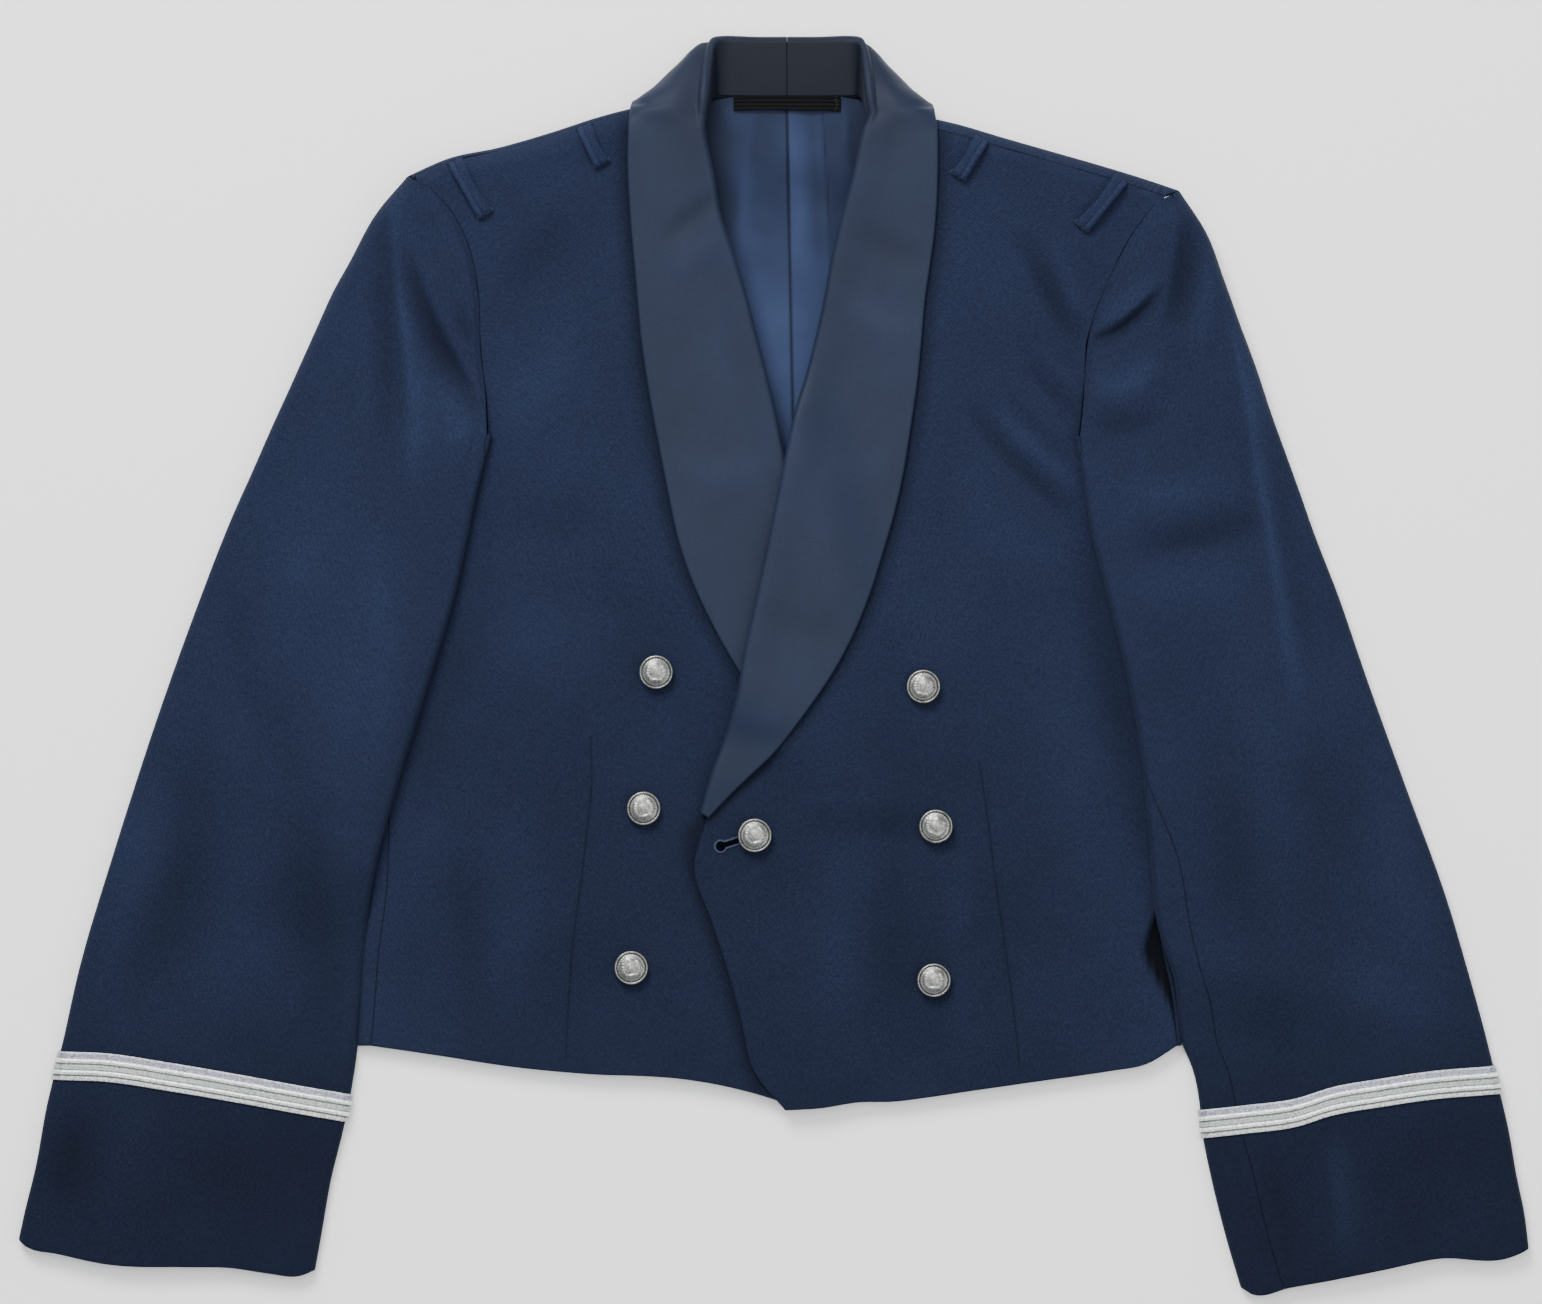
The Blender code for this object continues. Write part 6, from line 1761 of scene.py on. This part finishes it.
def build_button(number, x, y):
    trims = bpy.context.scene.jacket_trims
    side = "right" if number < 3 else "left"
    radius = trims.button_diameter / MM / 2
    foot = float(FRONT_TOP[side](x, y)) + GAP + 0.5
    keys = np.array(((0, 0), (1.8, 0), (1.8, 2.2), (radius - 1.0, 2.4), (radius, 3.2), (radius - 0.15, 4.0),
                     (radius - 0.8, 4.5), (radius - 1.6, 4.25), (radius - 2.2, 4.5), (radius * 0.45, 5.6), (0, 6.0)))
    under = keys[:4]
    steps = np.linalg.norm(np.diff(keys[3:], axis=0), axis=1)
    at = np.concatenate([[0], np.cumsum(steps)])
    where = np.linspace(0, at[-1], 44)
    over = np.column_stack([look_up(np.column_stack([at, keys[3:, k]]), where) for k in range(2)])
    profile = np.vstack([under, over[1:]])
    shape = bmesh.new()
    ring = [shape.verts.new((max(r, 0) * MM, 0, z * MM)) for r, z in profile]
    edges = [shape.edges.new(pair) for pair in zip(ring, ring[1:])]
    bmesh.ops.spin(shape, geom=ring + edges, cent=(0, 0, 0), axis=(0, 0, 1), angle=2 * math.pi, steps=90)
    bmesh.ops.remove_doubles(shape, verts=shape.verts, dist=1e-6)
    bmesh.ops.recalc_face_normals(shape, faces=shape.faces)
    shape.verts.index_update()
    shape.faces.sort(key=face_number)
    mesh = bpy.data.meshes.new("button_%d_metal" % (number + 1))
    shape.to_mesh(mesh)
    shape.free()
    points = np.empty(len(mesh.vertices) * 3)
    mesh.vertices.foreach_get("co", points)
    points = points.reshape(-1, 3) / MM
    away, angle = np.hypot(points[:, 0], points[:, 1]), np.arctan2(points[:, 1], points[:, 0])
    lifted = button_face(away, angle + 0.3 * math.sin(5 * number), radius) * (points[:, 2] > 4.2)
    points[:, 2] += lifted
    # Recess: the field and the groove darken (patina and painted shade), the sides and underside darken (painted
    # shade), and the rim is kept paler (painted highlight).
    recess = np.where(points[:, 2] > 4.0, 0.4 * smooth(0.16, 0.0, lifted) + 0.5 * smooth(-0.05, -0.25, lifted), 0.55)
    recess = np.where(away > 0.9 * radius, 0.5 * recess, recess)
    layer = mesh.attributes.new("recess", "FLOAT", "POINT")
    layer.data.foreach_set("value", np.clip(recess, 0, 1).astype(np.float32))
    points = points + (x, y, foot)
    mesh.vertices.foreach_set("co", (points * MM).astype(np.float32).ravel())
    return place(mesh.name, mesh, silver_finish())


def build_buttonhole():
    """A keyhole buttonhole on the left front: a near-black sheet for its opening (painted shade) with a purl of thread
    round it.
    """
    eye, end = np.array(BUTTONHOLE, float)
    length = np.linalg.norm(end - eye)
    forward = (end - eye) / length
    across = np.array([-forward[1], forward[0]])
    turn = math.asin(SLOT_HALF_WIDTH / EYE_RADIUS)
    turns = np.linspace(turn, 2 * math.pi - turn, 22)[:, None]
    bow = eye + EYE_RADIUS * (np.cos(turns) * forward + np.sin(turns) * across)
    outline = np.vstack([[end + across * SLOT_HALF_WIDTH], bow, [end - across * SLOT_HALF_WIDTH]])
    spine = eye + np.clip((outline - eye) @ forward, 0, length)[:, None] * forward
    grid = spine + (outline - spine) * np.linspace(0, 1, 5)[:, None, None]
    height = on_front("left", grid[..., 0], grid[..., 1]) + 0.35
    # the opening is a near-black sheet: painted shade inside the slit
    slot = cloth_piece("buttonhole_opening", np.concatenate([grid, height[..., None]], axis=-1), 0.3,
                       thread_finish("buttonhole dark", (0.001, 0.0016, 0.003), specular=0.0), outward=-1)
    away = outline - spine
    away /= np.linalg.norm(away, axis=1, keepdims=True)
    points = front_point("left", outline + away * 0.5)
    points[:, 2] += 0.5
    thread = thread_runs("buttonhole_purl", [(points, (0, 0, 1))],
                         thread_finish("buttonhole thread", (0.032, 0.043, 0.070)),
                         seed=13, spacing=0.6, length=0.8, width=1.5, height=0.8)
    return slot, thread


# ---------------------------------------------------------------- stage
def build_stage():
    stage = bpy.context.scene.jacket_stage
    half = 3.0
    shape = bmesh.new()
    bmesh.ops.create_grid(shape, x_segments=8, y_segments=8, size=half)
    bmesh.ops.translate(shape, verts=shape.verts, vec=(0, 0, -0.0002))
    mesh = bpy.data.meshes.new("floor")
    shape.to_mesh(mesh)
    shape.free()
    mesh.materials.append(floor_finish())
    floor = add_object("floor", mesh)
    lights = (
        ("window_light", (-0.9, 2.2, 2.5), (0.0, 0.05, 0), 1.7, stage.key_power),
        ("room_light", (1.9, -0.7, 2.4), (0, 0, 0), 2.4, stage.fill_power),
        ("top_light", (0.0, 0.3, 3.4), (0, 0, 0), 2.6, stage.top_power),
    )
    for name, at, aim, size, power in lights:
        lamp = bpy.data.lights.new(name, "AREA")
        lamp.shape = "DISK"
        lamp.size = size
        lamp.energy = power
        holder = add_object(name, lamp)
        holder.location = at
        direction = np.array(aim, float) - np.array(at)
        holder.rotation_euler = (math.acos(-direction[2] / np.linalg.norm(direction)), 0,
                                 math.atan2(direction[1], direction[0]) - math.pi / 2)
    world = bpy.data.worlds.new("room")
    world.use_nodes = True
    world.node_tree.nodes["Background"].inputs["Color"].default_value = (0.93, 0.95, 1.0, 1)
    world.node_tree.nodes["Background"].inputs["Strength"].default_value = stage.room_strength
    bpy.context.scene.world = world
    camera = bpy.data.cameras.new("camera")
    camera.sensor_width = 36.0
    camera.lens = 36.0 * stage.camera_height / stage.view_width
    holder = add_object("camera", camera)
    holder.location = (-0.00896, -0.0448, stage.camera_height)
    bpy.context.scene.camera = holder


# ---------------------------------------------------------------- settings
def colour_setting(name, description, default):
    return bpy.props.FloatVectorProperty(name=name, description=description, default=default, subtype="COLOR",
                                         min=0, max=1)


def number_setting(name, description, default, low, high, **kind):
    return bpy.props.FloatProperty(name=name, description=description, default=default, min=low, max=high, **kind)


class JacketCloth(bpy.types.PropertyGroup):
    """Colours and folds of the cloth."""
    wool: colour_setting("Wool", "Colour of the wool", (0.0085, 0.0128, 0.0305))
    satin: colour_setting("Collar satin", "Colour of the collar's satin", (0.0100, 0.0150, 0.0320))
    lining: colour_setting("Lining", "Colour of the lining's satin", (0.0295, 0.0455, 0.1060))
    crease_scale: number_setting(
        "Creases", "Height of the creases, as a share of the usual", 1.0, 0.0, 1.5, subtype="FACTOR")


class JacketTrims(bpy.types.PropertyGroup):
    """Sizes and colours of the trims."""
    button_diameter: number_setting(
        "Button diameter", "Diameter of the metal buttons", 0.019, 0.015, 0.0195, unit="LENGTH")
    braid_width: number_setting("Braid width", "Width of the cuff braid", 0.016, 0.008, 0.018, unit="LENGTH")
    braid_brightness: number_setting(
        "Braid brightness", "Brightness of the braid's metal", 1.0, 0.2, 1.5, subtype="FACTOR")
    silver: colour_setting("Silver", "Colour of the buttons where they are clean", (0.24, 0.245, 0.23))


class JacketStage(bpy.types.PropertyGroup):
    """Floor, lights and camera."""
    floor: colour_setting("Floor", "Colour of the floor", (0.93, 0.93, 0.93))
    camera_height: number_setting("Camera height", "Height of the camera over the floor", 5.0, 1.0, 20.0, unit="LENGTH")
    view_width: number_setting(
        "View width", "Width of the floor that the camera takes in", 0.8635, 0.5, 3.0, unit="LENGTH")
    key_power: number_setting("Window light", "Power of the large light over the collar", 170.0, 0, 500, unit="POWER")
    fill_power: number_setting(
        "Room light", "Power of the fill light beside the left sleeve", 30.0, 0, 500, unit="POWER")
    top_power: number_setting("Top light", "Power of the light straight above", 60.0, 0, 500, unit="POWER")
    room_strength: number_setting("Room brightness", "Strength of the room's even light", 0.7, 0, 5)


# ---------------------------------------------------------------- operators
class PieceOperator(bpy.types.Operator):
    bl_options = {"REGISTER", "UNDO"}

    def execute(self, context):
        self.build()
        return {"FINISHED"}


class JACKET_OT_stage(PieceOperator):
    """Lay the pale floor and set the soft lights and the camera"""
    bl_idname = "jacket.stage"
    bl_label = "Stage"

    def build(self):
        build_stage()


class JACKET_OT_back(PieceOperator):
    """Make the back, which wraps round the side folds and over the shoulders"""
    bl_idname = "jacket.back"
    bl_label = "Back"

    def build(self):
        declare(build_back(), "back")


class JACKET_OT_lining(PieceOperator):
    """Make the back lining, with its centre pleat"""
    bl_idname = "jacket.lining"
    bl_label = "Back lining"

    def build(self):
        declare(build_lining(), "back_lining")


class JACKET_OT_fronts(PieceOperator):
    """Make both fronts, with their darts, side seams and armholes"""
    bl_idname = "jacket.fronts"
    bl_label = "Fronts"

    def build(self):
        for side in SIDES:
            declare(build_front(side), "front_" + side)


class JACKET_OT_sleeves(PieceOperator):
    """Make the top and under sleeves"""
    bl_idname = "jacket.sleeves"
    bl_label = "Sleeves"

    def build(self):
        for side in SIDES:
            under = build_sleeve(side, -1)
            declare(under, "under_sleeve_" + side)
            declare(build_sleeve(side, 1), "top_sleeve_" + side)


class JACKET_OT_collar(PieceOperator):
    """Make both halves of the shawl collar"""
    bl_idname = "jacket.collar"
    bl_label = "Shawl collar"

    def build(self):
        for side in SIDES:
            declare(build_collar(side), "collar_" + side)


class JACKET_OT_neck_tape(PieceOperator):
    """Make the hanger tape and its stitches"""
    bl_idname = "jacket.neck_tape"
    bl_label = "Hanger tape"

    def build(self):
        piece, tack = build_hanger()
        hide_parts("hanger_loop")


class JACKET_OT_shoulder_loops(PieceOperator):
    """Make the four shoulder loops with their bar tacks"""
    bl_idname = "jacket.shoulder_loops"
    bl_label = "Shoulder loops"

    def build(self):
        for name, ends in SHOULDER_LOOPS.items():
            piece, tack = build_loop(name, ends)
            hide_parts("shoulder_loop_" + name)


class JACKET_OT_cuff_braid(PieceOperator):
    """Make the metal braid round both cuffs"""
    bl_idname = "jacket.cuff_braid"
    bl_label = "Cuff braid"

    def build(self):
        for side in SIDES:
            piece, picks, ground = build_braid(side)
            declare(piece, "cuff_lace_" + side)


class JACKET_OT_buttons(PieceOperator):
    """Make the seven metal buttons"""
    bl_idname = "jacket.buttons"
    bl_label = "Buttons"

    def build(self):
        for number, (x, y) in enumerate(BUTTONS):
            piece = build_button(number, x, y)
            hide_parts("button_%d" % (number + 1))


class JACKET_OT_buttonhole(PieceOperator):
    """Make the keyhole buttonhole beside the lowest middle button"""
    bl_idname = "jacket.buttonhole"
    bl_label = "Buttonhole"

    def build(self):
        for piece in build_buttonhole():
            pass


STEPS = (JACKET_OT_stage, JACKET_OT_back, JACKET_OT_lining, JACKET_OT_fronts, JACKET_OT_sleeves, JACKET_OT_collar,
         JACKET_OT_neck_tape, JACKET_OT_shoulder_loops, JACKET_OT_cuff_braid, JACKET_OT_buttons, JACKET_OT_buttonhole)


class JACKET_PT_panel(bpy.types.Panel):
    bl_label = "Mess dress jacket"
    bl_idname = "JACKET_PT_panel"
    bl_space_type = "VIEW_3D"
    bl_region_type = "UI"
    bl_category = "Jacket"

    def draw(self, context):
        for settings in (context.scene.jacket_cloth, context.scene.jacket_trims, context.scene.jacket_stage):
            box = self.layout.box()
            for name in type(settings).__annotations__:
                box.prop(settings, name)
        column = self.layout.column(align=True)
        for step in STEPS:
            column.operator(step.bl_idname)


CLASSES = (JacketCloth, JacketTrims, JacketStage) + STEPS + (JACKET_PT_panel,)


def register():
    for each in CLASSES:
        bpy.utils.register_class(each)
    bpy.types.Scene.jacket_cloth = bpy.props.PointerProperty(type=JacketCloth)
    bpy.types.Scene.jacket_trims = bpy.props.PointerProperty(type=JacketTrims)
    bpy.types.Scene.jacket_stage = bpy.props.PointerProperty(type=JacketStage)


def unregister():
    del bpy.types.Scene.jacket_stage, bpy.types.Scene.jacket_trims, bpy.types.Scene.jacket_cloth
    for each in reversed(CLASSES):
        bpy.utils.unregister_class(each)


def main():
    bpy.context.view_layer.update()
    register()
    for step in STEPS:
        group, name = step.bl_idname.split(".")
        getattr(getattr(bpy.ops, group), name)()


if __name__ == "__main__":
    main()
